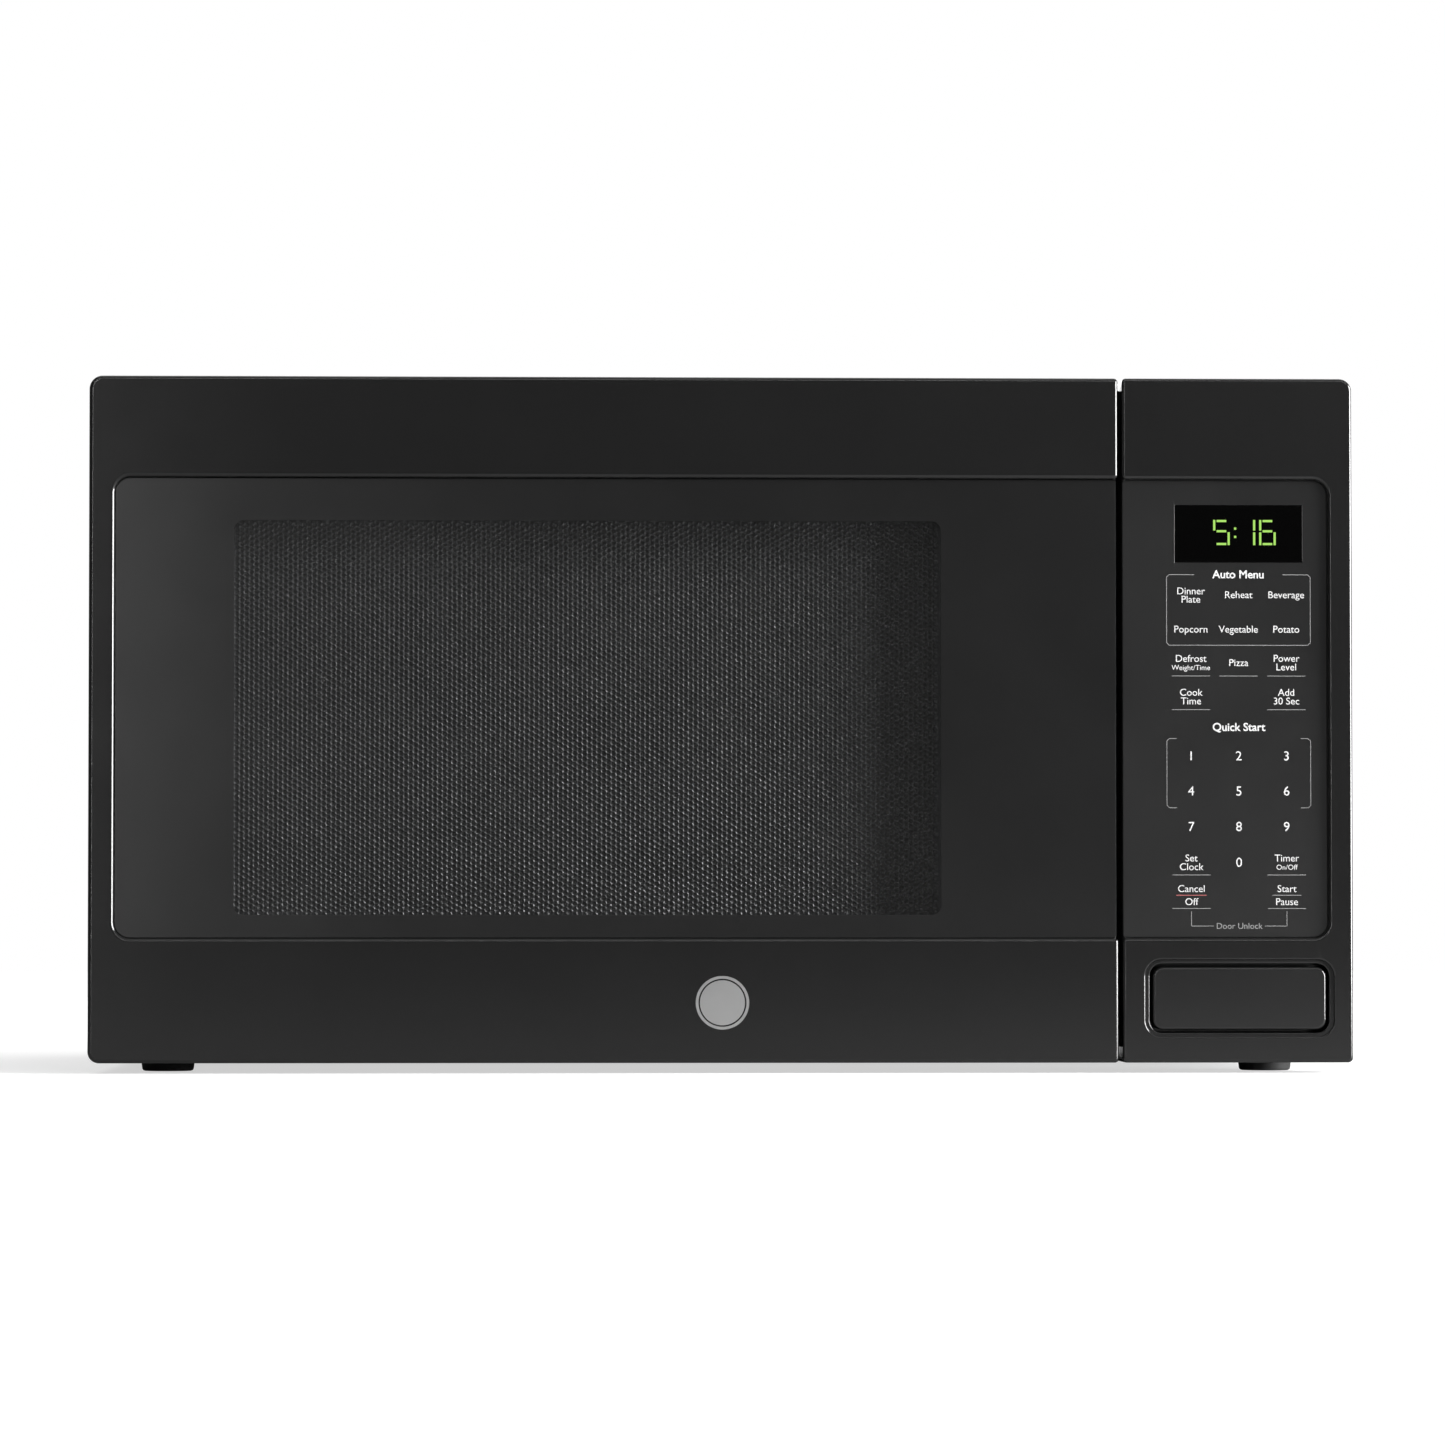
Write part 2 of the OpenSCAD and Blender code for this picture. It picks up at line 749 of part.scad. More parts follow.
display_x = panel_x + 25.8;
display_z = recess_z1 - 12.3 - display_h;
hole_x0 = button_x - button_w / 2 - button_gap;
hole_x1 = button_x + button_w / 2 + button_gap;
hole_z0 = button_z - button_h / 2 - button_gap;
hole_z1 = button_z + button_h / 2 + button_gap;
overlay_t = 0.6;
overlay_y = face_y + overlay_t;

module panel_fascia() {
  color("#2d2d2d")
  difference() {
    union() {
      difference() {
        wall_y(front, frame_y) round_rect(panel_x, low, right, case_h, [2, 2.5, corner_r, 1.5]);
        block([panel_x + mould_t, overlay_y + mould_t, low + mould_t],
              [right - mould_t, frame_y + cut, case_h - mould_t]);
        block([panel_x + mould_t, front + mould_t, recess_z1 + mould_t],
              [right - mould_t, overlay_y + mould_t + cut, case_h - mould_t]);
      }
      block([panel_x + 1, guide_y0, low + 1], [right - 1, guide_y0 + guide_t, recess_z0 - 2]);
    }
    wall_y(front - cut, overlay_y)
      round_rect(panel_x - 20, recess_z0, recess_x1, recess_z1, [1, recess_r, recess_r, 1]);
    block([display_x, front - cut, display_z],
          [display_x + display_w, overlay_y + mould_t + cut, display_z + display_h]);
    wall_y(front - cut, guide_y0) round_rect(hole_x0, hole_z0, hole_x1, hole_z1, [5.5, 5.5, 5.5, 5.5]);
    block([button_x - stem_w / 2 - 0.5, guide_y0 - cut, button_z - stem_h / 2 - 0.5],
          [button_x + stem_w / 2 + 0.5, guide_y0 + guide_t + cut, button_z + stem_h / 2 + 0.5]);
  }
}

module keypad_overlay() {
  color("#2c2c2c")
  difference() {
    wall_y(face_y, overlay_y)
      round_rect(panel_x + 0.6, recess_z0 + 0.6, recess_x1 - 0.6, recess_z1 - 0.6,
                 [1, recess_r - 0.6, recess_r - 0.6, 1]);
    block([display_x, face_y - cut, display_z],
          [display_x + display_w, overlay_y + cut, display_z + display_h]);
  }
}

module display_lens() {
  color("#050505")
  block([display_x, face_y, display_z], [display_x + display_w, face_y + 2, display_z + display_h]);
}

module display_module() {
  color("#3a4038")
  block([display_x + 2, overlay_y + mould_t, display_z - 1],
        [display_x + display_w - 2, guide_y0 - 6, display_z + display_h + 1]);
}

board_y = guide_y0 - 4;

module control_board() {
  color("#2f6b45")
  union() {
    block([panel_x + 8, board_y, recess_z0 + 12], [right - 8, board_y + 1.6, recess_z1 - 6]);
    block([panel_x + 18, board_y + 1.5, recess_z0 + 20], [panel_x + 48, board_y + 11, recess_z0 + 55]);
    for (i = [0 : 2])
      block([panel_x + 56, board_y + 1.5, recess_z0 + 24 + i * 26],
            [panel_x + 74, board_y + 12, recess_z0 + 42 + i * 26]);
    block([panel_x + 20, board_y + 1.5, recess_z0 + 80], [panel_x + 40, board_y + 8, recess_z0 + 130]);
    block([display_x + 2, guide_y0 - 6, display_z + 4],
          [display_x + display_w - 2, board_y + 0.1, display_z + display_h - 4]);
  }
}

// ---- Interlocks ----

board_x = hook_x + 9.5;
switch_y = hook_y1 + 1.8;
switch_l = 27.8;
switch_end = 5;
plunger_r = 1.4;
plunger_z = [hook_z[1] - nose_drop + 5, hook_z[0] - nose_drop + 1.6, hook_z[0] - nose_drop + 12.4];
plunger_up = [1, -1, 1];

module latch_board() {
  color("#d9d7cf")
  difference() {
    union() {
      block([board_x, frame_back, low + 36], [board_x + 2, frame_back + 46, cav_z1 - 2]);
      for (z = hook_z)
        block([hook_x - 1, frame_y + 8, z - nose_drop - ledge_gap - 4],
              [board_x + 0.1, frame_y + 12.8, z - nose_drop - ledge_gap]);
      block([hook_x - 7, frame_back, lever_z - 6], [hook_x - 4, frame_back + 12, lever_z + 6]);
      block([hook_x - 6, frame_back, lever_z - 8], [board_x + 1, frame_back + 12, lever_z - 6]);
    }
    rod_x(lever_y, lever_z, hook_x - 9, hook_x, lever_r + run_clear);
    rod_x(lever_y, lever_z, board_x - 1, board_x + 3, lever_r + run_clear);
    block([hook_x - 3, lever_y + 4, lever_z - 9], [board_x - 1, lever_y + 30, lever_z - 5.5]);
  }
}

module switch_body(i) {
  z = plunger_z[i];
  s = plunger_up[i];
  difference() {
    block([hook_x - 3, switch_y, z + min(-s * switch_end, s * (switch_l - switch_end))],
          [hook_x + 7.3, switch_y + 15.9, z + max(-s * switch_end, s * (switch_l - switch_end))]);
    rod_y(hook_x + hook_t / 2, z, switch_y - cut, switch_y + 7, plunger_r + run_clear);
  }
}

module interlock_switches() {
  color("#26282a")
  for (i = [0 : 2]) switch_body(i);
}

module plunger(i) {
  color("#c23b2e")
  rod_y(hook_x + hook_t / 2, plunger_z[i], hook_y1 + gap, switch_y + 5, plunger_r);
}

module switch_plunger_a() { plunger(0); }
module switch_plunger_b() { plunger(1); }
module switch_plunger_c() { plunger(2); }

// ---- Mains filter ----

module filter_board() {
  z = bay_top - 34;
  color("#2f6b45")
  union() {
    block([bay_x0 + 12, frame_back + 20, z], [bay_x0 + 82, frame_back + 80, z + 1.6]);
    block([bay_x0 + 18, frame_back + 26, z + 1.5], [bay_x0 + 34, frame_back + 44, z + 16]);
    translate([bay_x0 + 60, frame_back + 60, z + 1.5]) cylinder(h = 14, r = 13);
  }
}

module fuse() {
  z = bay_top - 34 + 1.6;
  color("#d8dcdc")
  rod_y(bay_x0 + 46, z + 4, frame_back + 24, frame_back + 46, 4);
}

// ---- Hinges ----

module hinge_plate() {
  color("#8f9499")
  union() {
    block([hinge_x - arm_w / 2, hinge_y, arm_z], [hinge_x + arm_w / 2, frame_back + arm_t, arm_z + arm_t]);
    translate([hinge_x, hinge_y, arm_z]) cylinder(h = arm_t, r = arm_w / 2);
    translate([hinge_x, hinge_y, boss_z + 1]) cylinder(h = arm_z - boss_z, r = pin_r);
    block([hinge_x - arm_w / 2, frame_back, arm_z - tab_h],
          [hinge_x + arm_w / 2 + 16, frame_back + arm_t, arm_z + arm_t]);
  }
}

module hinge_upper() { hinge_plate(); }

module hinge_lower() {
  translate([0, 0, 2 * mid_z]) mirror([0, 0, 1]) hinge_plate();
}

// ---- Door ----

module door_plan() {
  r = rear_edge_r;
  round_rect(left, front, door_x, door_back, [1, 1, 0.5, r]);
}

module hinge_bosses() {
  for (m = [0, 1])
    translate([0, 0, m * 2 * mid_z]) mirror([0, 0, m])
      block([left + 1, hinge_y - 7, boss_z], [hinge_x + 7, door_back - 1.5, boss_z + boss_h]);
}

module hinge_cuts() {
  for (m = [0, 1])
    translate([0, 0, m * 2 * mid_z]) mirror([0, 0, m]) {
      translate([hinge_x, hinge_y, boss_z + 0.5]) cylinder(h = boss_h, r = pin_r + run_clear);
      block([left - cut, hinge_y - 9, arm_z - arm_slot],
            [hinge_x + 7.2, door_back + cut, arm_z + arm_t + arm_slot]);
    }
}

module door_fascia() {
  color("#2b2b2b")
  difference() {
    union() {
      difference() {
        intersection() {
          wall_y(front, door_back) round_rect(left, low, door_x, case_h, [corner_r, 1.5, 1.5, corner_r]);
          translate([0, 0, low - cut]) linear_extrude(case_h - low + 2 * cut) door_plan();
        }
        block([left + 7, wall_back, low + mould_t], [door_x - mould_t, door_back + cut, case_h - mould_t]);
        block([left + 7, front + mould_t, recess_z1 + mould_t],
              [door_x - mould_t, wall_back + cut, case_h - mould_t]);
        block([left + 7, front + mould_t, low + mould_t],
              [door_x - mould_t, wall_back + cut, recess_z0 - mould_t]);
      }
      hinge_bosses();
      block([hook_x - 3, bar_y0 - 3, latch_spring_z + latch_spring_l],
            [door_x - 1, choke_y1, latch_spring_z + latch_spring_l + 2]);
    }
    hinge_cuts();
    wall_y(front - cut, sheet_back)
      round_rect(recess_x0, recess_z0, door_x + 20, recess_z1, [recess_r, 1, 1, recess_r]);
    wall_y(sheet_back - cut, wall_back + cut)
      round_rect(opening_x0, opening_z0, opening_x1, opening_z1, [6, 6, 6, 6]);
    rod_y(badge_x, badge_z, front - cut, front + badge_sink, badge_r);
  }
}

module door_window() {
  g = 0.2;
  color("#1c1c1c")
  wall_y(face_y, sheet_back)
    round_rect(recess_x0 + g, recess_z0 + g, door_x - 1, recess_z1 - g, [recess_r - g, 1, 1, recess_r - g]);
}

module door_screen() {
  y1 = choke_y0;
  color("#77797b")
  wall_y(y1 - 0.6, y1)
    round_rect(opening_x0 + 2, opening_z0 + 2, opening_x1 - 2, opening_z1 - 2, [6, 6, 6, 6]);
}

module choke_frame() {
  t = sheet_t;
  color("#6a6c6e")
  difference() {
    union() {
      block([choke_x0, choke_y0, choke_z0], [choke_x1, choke_y0 + t, choke_z1]);
      difference() {
        block([choke_x0, choke_y0, choke_z0], [choke_x1, choke_y1, choke_z1]);
        block([choke_x0 + t, choke_y0 - cut, choke_z0 + t], [choke_x1 - t, choke_y1 + cut, choke_z1 - t]);
        for (x = [choke_x0 + 14 : choke_pitch : choke_x1 - 14])
          block([x, choke_y0 + 5, choke_z0 - cut], [x + choke_slot, choke_y1 + cut, choke_z1 + cut]);
        for (z = [choke_z0 + 14 : choke_pitch : choke_z1 - 14])
          block([choke_x0 - cut, choke_y0 + 5, z], [choke_x1 + cut, choke_y1 + cut, z + choke_slot]);
      }
      difference() {
        block([choke_x0 + choke_in, choke_y0, choke_z0 + choke_in],
              [choke_x1 - choke_in, choke_y1, choke_z1 - choke_in]);
        block([choke_x0 + choke_in + t, choke_y0 - cut, choke_z0 + choke_in + t],
              [choke_x1 - choke_in - t, choke_y1 + cut, choke_z1 - choke_in - t]);
      }
    }
    wall_y(choke_y0 - cut, choke_y0 + t + cut)
      round_rect(opening_x0 + 10, opening_z0 + 10, opening_x1 - 10, opening_z1 - 10, [4, 4, 4, 4]);
  }
}

cover_x0 = left + 7.2;
cover_x1 = door_x - mould_t - 0.2;

module choke_cover() {
  color("#1d1d1d")
  difference() {
    block([cover_x0, choke_y1, low + mould_t + 0.2],
          [cover_x1, choke_y1 + cover_t, case_h - mould_t - 0.2]);
    wall_y(choke_y1 - cut, choke_y1 + cover_t + cut)
      round_rect(choke_x0 + choke_in + 2, choke_z0 + choke_in + 2,
                 choke_x1 - choke_in - 2, choke_z1 - choke_in - 2, [4, 4, 4, 4]);
    for (z = hook_z)
      block([hook_x - 1, choke_y1 - cut, z - nose_drop - 1.5],
            [hook_x + hook_t + 1, choke_y1 + cover_t + cut, z + hook_h - nose_drop + hook_lift + 1.5]);
    for (m = [0, 1])
      translate([0, 0, m * 2 * mid_z]) mirror([0, 0, m])
        block([cover_x0 - cut, choke_y1 - cut, boss_z - 1],
              [hinge_x + 7.4, choke_y1 + cover_t + cut, case_h]);
  }
}

module door_badge() {
  color("#b5b5b5")
  rod_y(badge_x, badge_z, front + badge_sink - badge_t + 0.6, front + badge_sink, badge_r - 0.1);
}

module latch_hooks() {
  x1 = hook_x + hook_t;
  color("#e0ddd2")
  union() {
    block([hook_x, bar_y0, hook_z[0] - 4], [x1, bar_y1, hook_z[1] + 12]);
    for (z = hook_z) {
      block([hook_x, bar_y1 - 1, z], [x1, hook_y1, z + hook_h - nose_drop]);
      block([hook_x, hook_y1 - nose_l, z - nose_drop], [x1, hook_y1, z + 1]);
    }
  }
}

module latch_spring() {
  color("#c0c4c8")
  translate([hook_x + hook_t / 2, (bar_y0 + bar_y1) / 2, latch_spring_z]) coil(3.2, 0.4, latch_spring_l, 6);
}

module release_button() {
  x0 = button_x - button_w / 2;
  x1 = button_x + button_w / 2;
  z0 = button_z - button_h / 2;
  z1 = button_z + button_h / 2;
  color("#303030")
  difference() {
    union() {
      wall_y(button_y, button_back) round_rect(x0, z0, x1, z1, [5, 5, 5, 5]);
      block([button_x - stem_w / 2, button_back - 1, button_z - stem_h / 2],
            [button_x + stem_w / 2, lever_y - lever_r - gap, button_z + stem_h / 2]);
    }
    for (s = [-1, 1])
      translate([button_x + s * (button_w / 4 + 3.5), 0, button_z])
        block([4 - button_w / 4 + 3, button_y + 2.5, -button_h / 2 + 2.5],
              [button_w / 4 - 6, button_back + cut, button_h / 2 - 2.5]);
  }
}

spring_x = button_x - button_w / 4 - 3.5;

module button_spring() {
  color("#c0c4c8")
  translate([spring_x, guide_y0 - 0.01, button_z]) rotate([90, 0, 0])
    coil(5, 0.4, guide_y0 - button_y - 2.5 - 0.02, 6);
}

module release_lever() {
  x0 = hook_x - 6.6;
  x1 = button_x + 8;
  tip_z = hook_z[0] - nose_drop - 1.5;
  color("#dcd9ce")
  union() {
    rod_x(lever_y, lever_z, x0, x1, lever_r);
    block([button_x - 6, lever_y - lever_r, button_z - 3], [button_x + 6, lever_y + lever_r, lever_z]);
    block([hook_x - 0.5, lever_y + 1, lever_z - 2.5], [hook_x + hook_t + 0.5, hook_y1 - 1, lever_z + 2]);
    block([hook_x - 0.5, hook_y1 - 5, lever_z - 2.5], [hook_x + hook_t + 0.5, hook_y1 - 1, tip_z]);
  }
}

cabinet_wrap();
base_plate();
rear_panel();
feet();
front_frame();
cavity_liner();
wave_inlet_cover();
waveguide();
magnetron();
magnetron_fins();
magnetron_filter_box();
transformer_core();
transformer_windings();
capacitor();
capacitor_strap();
diode();
fan_motor();
fan_shroud();
fan_blade();
air_duct();
exhaust_duct();
lamp_housing();
lamp();
humidity_sensor();
thermal_cutouts();
turntable_motor();
panel_fascia();
keypad_overlay();
display_lens();
display_module();
control_board();
latch_board();
interlock_switches();
switch_plunger_a();
switch_plunger_b();
switch_plunger_c();
filter_board();
fuse();
hinge_upper();
hinge_lower();
screws();
cord_bush();
door_fascia();
door_window();
door_screen();
choke_frame();
choke_cover();
door_badge();
latch_hooks();
latch_spring();
release_button();
button_spring();
release_lever();
drive_hub();
glass_tray();
roller_ring();
roller_a();
roller_b();
roller_c();
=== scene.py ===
from math import atan2, cos, pi, radians, sin, sqrt

import bpy
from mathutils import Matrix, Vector


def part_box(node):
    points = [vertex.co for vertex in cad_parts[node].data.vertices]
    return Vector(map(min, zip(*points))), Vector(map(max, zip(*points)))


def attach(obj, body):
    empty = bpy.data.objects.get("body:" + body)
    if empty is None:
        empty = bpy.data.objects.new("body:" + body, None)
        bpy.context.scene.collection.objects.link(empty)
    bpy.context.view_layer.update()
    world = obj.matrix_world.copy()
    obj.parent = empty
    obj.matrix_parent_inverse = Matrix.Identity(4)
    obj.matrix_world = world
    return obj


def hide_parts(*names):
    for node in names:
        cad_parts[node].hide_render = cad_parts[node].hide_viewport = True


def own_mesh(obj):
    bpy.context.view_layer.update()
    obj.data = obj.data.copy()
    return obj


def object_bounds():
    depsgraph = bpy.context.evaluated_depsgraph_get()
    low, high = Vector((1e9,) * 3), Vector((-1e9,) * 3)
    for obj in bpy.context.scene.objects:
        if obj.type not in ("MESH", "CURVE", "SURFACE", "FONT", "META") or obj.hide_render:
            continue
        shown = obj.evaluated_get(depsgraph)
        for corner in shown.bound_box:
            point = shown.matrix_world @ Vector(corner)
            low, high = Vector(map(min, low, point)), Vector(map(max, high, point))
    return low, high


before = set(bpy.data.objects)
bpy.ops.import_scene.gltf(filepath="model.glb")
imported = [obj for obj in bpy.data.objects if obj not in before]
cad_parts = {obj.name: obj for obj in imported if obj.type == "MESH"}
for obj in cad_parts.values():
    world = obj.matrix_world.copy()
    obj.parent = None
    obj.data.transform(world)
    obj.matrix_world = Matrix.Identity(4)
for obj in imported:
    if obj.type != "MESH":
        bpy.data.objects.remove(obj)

MM = 0.001
cad_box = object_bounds()


# ---------------------------------------------------------------- places

def box(node):
    """A CAD node's lowest and highest corners."""
    low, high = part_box(node)
    return Vector(low), Vector(high)


DOOR, DOOR_HI = box("door_fascia")
PANEL, PANEL_HI = box("panel_fascia")
SHEET, SHEET_HI = box("door_window")
OVERLAY, OVERLAY_HI = box("keypad_overlay")
LENS, LENS_HI = box("display_lens")
BUTTON, BUTTON_HI = box("release_button")
FRONT = DOOR.y
REAR = DOOR_HI.y
RECESS_LOW = OVERLAY.z - 0.6 * MM
RECESS_TOP = OVERLAY_HI.z + 0.6 * MM
RECESS_LEFT = SHEET.x - 0.2 * MM
RECESS_RIGHT = OVERLAY_HI.x + 0.6 * MM
RECESS_R = 7.7 * MM


# ---------------------------------------------------------------- modelling by hand

def only(piece):
    """Leaves object mode with this piece alone selected and active."""
    if bpy.context.object and bpy.context.object.mode != "OBJECT":
        bpy.ops.object.mode_set(mode="OBJECT")
    bpy.ops.object.select_all(action="DESELECT")
    piece.select_set(True)
    bpy.context.view_layer.objects.active = piece


def apply_place(piece):
    only(piece)
    bpy.ops.object.transform_apply(location=True, rotation=True, scale=True)


def edit(piece, kind="EDGE"):
    """Enters edit mode on this piece with nothing selected."""
    only(piece)
    bpy.ops.object.mode_set(mode="EDIT")
    bpy.ops.mesh.select_mode(type=kind)
    bpy.ops.mesh.select_all(action="DESELECT")
    bpy.ops.object.mode_set(mode="OBJECT")
    return piece.data


def done():
    bpy.ops.object.mode_set(mode="OBJECT")


def outward(piece):
    """Turns every face of a closed piece outwards."""
    only(piece)
    bpy.ops.object.mode_set(mode="EDIT")
    bpy.ops.mesh.select_all(action="SELECT")
    bpy.ops.mesh.remove_doubles(threshold=1e-6)
    bpy.ops.mesh.normals_make_consistent(inside=False)
    done()


def use_modifier(piece, kind, **settings):
    """Adds a modifier, sets it and applies it."""
    only(piece)
    modifier = piece.modifiers.new(kind.lower(), kind)
    for key, value in settings.items():
        setattr(modifier, key, value)
    bpy.ops.object.modifier_apply(modifier=modifier.name)


def slab(name, low, high, radii=(0, 0, 0, 0), steps=8):
    """A plate facing the front, with a radius at each corner: low left, low right, top right, top left."""
    middle = (low + high) / 2
    bpy.ops.mesh.primitive_plane_add(size=1, location=(middle.x, low.y, middle.z), rotation=(pi / 2, 0, 0))
    piece = bpy.context.object
    piece.name = name
    piece.scale = (high.x - low.x, high.z - low.z, 1)
    apply_place(piece)
    corners = [(low.x, low.z), (high.x, low.z), (high.x, high.z), (low.x, high.z)]
    for corner, radius in zip(corners, radii):
        if radius <= 0:
            continue
        mesh = edit(piece, "VERT")
        for vertex in mesh.vertices:
            vertex.select = (Vector((vertex.co.x, vertex.co.z)) - Vector(corner)).length < 1e-6
        bpy.ops.object.mode_set(mode="EDIT")
        bpy.ops.mesh.bevel(offset=radius, segments=steps, affect="VERTICES", clamp_overlap=False)
        done()
    bpy.ops.object.mode_set(mode="EDIT")
    bpy.ops.mesh.select_all(action="SELECT")
    bpy.ops.mesh.extrude_region_move(TRANSFORM_OT_translate={"value": (0, high.y - low.y, 0)})
    done()
    outward(piece)
    return piece


def disc(name, centre, radius, depth, sides=64, axis="Y"):
    """A round bar along Y, X or Z, starting at centre."""
    turn = {"Y": (-pi / 2, 0, 0), "X": (0, pi / 2, 0), "Z": (0, 0, 0)}[axis]
    way = {"Y": Vector((0, 1, 0)), "X": Vector((1, 0, 0)), "Z": Vector((0, 0, 1))}[axis]
    bpy.ops.mesh.primitive_cylinder_add(vertices=sides, radius=radius, depth=depth,
                                        location=centre + way * depth / 2, rotation=turn)
    piece = bpy.context.object
    piece.name = name
    apply_place(piece)
    return piece


def carve(piece, *cutters):
    """Cuts each cutter out of the piece and throws the cutter away."""
    for cutter in cutters:
        use_modifier(piece, "BOOLEAN", operation="DIFFERENCE", solver="EXACT", object=cutter)
        bpy.data.objects.remove(cutter)


def ease(piece, width, steps, pick, profile=0.5):
    """Rounds the sharp edges that pick(a, b) chooses by their two ends."""
    mesh = edit(piece)
    bpy.ops.object.mode_set(mode="EDIT")
    bpy.ops.mesh.edges_select_sharp(sharpness=radians(20))
    done()
    sharp = {edge.index for edge in mesh.edges if edge.select}
    mesh = edit(piece)
    points = mesh.vertices
    for edge in mesh.edges:
        a, b = (points[i].co for i in edge.vertices)
        edge.select = edge.index in sharp and pick(a, b)
    bpy.ops.object.mode_set(mode="EDIT")
    bpy.ops.mesh.bevel(offset=width, segments=steps, profile=profile, affect="EDGES",
                       clamp_overlap=False, miter_outer="ARC")
    done()


def smooth(piece, angle=30):
    only(piece)
    bpy.ops.object.shade_smooth_by_angle(angle=radians(angle))
    return piece


def both(test):
    """An edge test from a test of one point."""
    return lambda a, b: test(a) and test(b)


def at_depth(y):
    """A point test: whether a point lies at this depth."""
    return lambda point: abs(point.y - y) < 1e-6


def join(name, pieces):
    """Joins pieces into one object."""
    only(pieces[0])
    for piece in pieces:
        piece.select_set(True)
    bpy.ops.object.join()
    pieces[0].name = name
    return pieces[0]


def finished(piece, body, slot, material, *nodes, angle=30):
    """Gives a finished piece its body and material and hides the CAD nodes it stands for; the slot is not
    used.
    """
    smooth(piece, angle)
    use_modifier(piece, "WEIGHTED_NORMAL", keep_sharp=True, weight=100)
    if material is not None:
        piece.data.materials.clear()
        piece.data.materials.append(material)
    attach(piece, body)
    if nodes:
        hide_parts(*nodes)
    return piece


def eased_copy(node, name, width, steps=2, angle=35):
    """A merged copy of a CAD node with its sharp edges rounded, as a moulding or a pressing has them."""
    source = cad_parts[node]
    piece = source.copy()
    piece.data = source.data.copy()
    piece.name = name
    piece.parent = None
    bpy.context.scene.collection.objects.link(piece)
    piece.matrix_world.identity()
    piece.hide_render = False
    piece.hide_viewport = False
    only(piece)
    bpy.ops.object.mode_set(mode="EDIT")
    bpy.ops.mesh.select_all(action="SELECT")
    bpy.ops.mesh.remove_doubles(threshold=2e-6)
    bpy.ops.mesh.dissolve_limited(angle_limit=radians(0.5))
    done()
    use_modifier(piece, "BEVEL", width=width, segments=steps, limit_method="ANGLE",
                 angle_limit=radians(angle), miter_outer="MITER_ARC", use_clamp_overlap=True)
    return piece


# ---------------------------------------------------------------- materials

def linear(code):
    """An sRGB hex colour as linear RGBA."""
    channels = [int(code[i:i + 2], 16) / 255 for i in (1, 3, 5)]
    return [c / 12.92 if c <= 0.04045 else ((c + 0.055) / 1.055) ** 2.4 for c in channels] + [1.0]


def add(tree, kind, inputs=(), **properties):
    """Adds a node, sets its properties, and sets or links its inputs."""
    made = tree.nodes.new("ShaderNode" + kind)
    for key, value in properties.items():
        setattr(made, key, value)
    for key, value in dict(inputs).items():
        if isinstance(value, bpy.types.NodeSocket):
            tree.links.new(value, made.inputs[key])
        else:
            made.inputs[key].default_value = value
    return made


def surface(name, colour, roughness, metallic=0.0, ior=None, coat=0.0, grain=0.4, depth=0.02,
            shade=0.06, rough_shift=0.06, stretch=(1, 1, 1), blotch=60, **shader):
    """A moulded, painted or rolled surface: a fine grain in the bump, and slow blotches in colour and gloss.

    grain and blotch are in millimetres, and depth is the grain's height in millimetres."""
    material = bpy.data.materials.new(name)
    material.use_nodes = True
    tree = material.node_tree
    tree.nodes.clear()
    place = add(tree, "TexCoord").outputs["Object"]
    place = add(tree, "Mapping", {"Vector": place, "Scale": stretch}).outputs["Vector"]
    fine = add(tree, "TexNoise", {"Vector": place, "Scale": 1 / (grain * MM), "Detail": 2.0,
                                  "Roughness": 0.55})
    slow = add(tree, "TexNoise", {"Vector": place, "Scale": 1 / (blotch * MM), "Detail": 4.0,
                                  "Roughness": 0.6})
    tint = add(tree, "MapRange", {"Value": slow.outputs["Fac"], "From Min": 0.3, "From Max": 0.7,
                                  "To Min": 1 - shade, "To Max": 1 + shade})
    base = linear(colour)
    paint = add(tree, "VectorMath", {0: base[:3], "Scale": tint.outputs["Result"]}, operation="SCALE")
    gloss = add(tree, "MapRange", {"Value": slow.outputs["Fac"], "From Min": 0.3, "From Max": 0.7,
                                   "To Min": roughness - rough_shift * roughness,
                                   "To Max": roughness + rough_shift * roughness})
    bump = add(tree, "Bump", {"Height": fine.outputs["Fac"], "Strength": 1.0, "Distance": depth * MM})
    bsdf = add(tree, "BsdfPrincipled", {"Base Color": paint.outputs["Vector"], "Metallic": metallic,
                                        "Roughness": gloss.outputs["Result"],
                                        "Normal": bump.outputs["Normal"]})
    if ior:
        bsdf.inputs["IOR"].default_value = ior
    if coat:
        bsdf.inputs["Coat Weight"].default_value = coat
        bsdf.inputs["Coat Roughness"].default_value = 0.08
    for key, value in shader.items():
        bsdf.inputs[key.replace("_", " ")].default_value = value
    add(tree, "OutputMaterial", {"Surface": bsdf.outputs["BSDF"]})
    return material


# Injection-moulded black ABS from a lightly eroded tool: a satin black with soft, slightly broken highlights.
black_abs = surface("moulded_black_abs", "#121212", 0.14, ior=1.5, grain=0.35, depth=0.004, shade=0.05)
# The same moulding polished in the tool: the button takes a clearer highlight than the fascia.
button_abs = surface("polished_black_abs", "#171717", 0.13, ior=1.5, grain=0.5, depth=0.003, shade=0.04)
# Screen-printed polyester film over the membrane switches: flat, finely matted charcoal.
keypad_film = surface("matted_polyester_film", "#0c0c0c", 0.3, ior=1.57, grain=0.25, depth=0.003, shade=0.04)
# Powder-coated steel: orange-peel ripple a few millimetres across under an even black gloss.
black_coat = surface("black_powder_coat", "#19191a", 0.46, ior=1.5, grain=2.2, depth=0.012, shade=0.02,
                     rough_shift=0.02)
# Hot-dip galvanised sheet: pale grey with cloudy spangle.
galvanised = surface("galvanised_steel_sheet", "#a9acae", 0.36, metallic=1.0, grain=0.8, depth=0.004,
                     shade=0.12,
                     rough_shift=0.25, blotch=9)
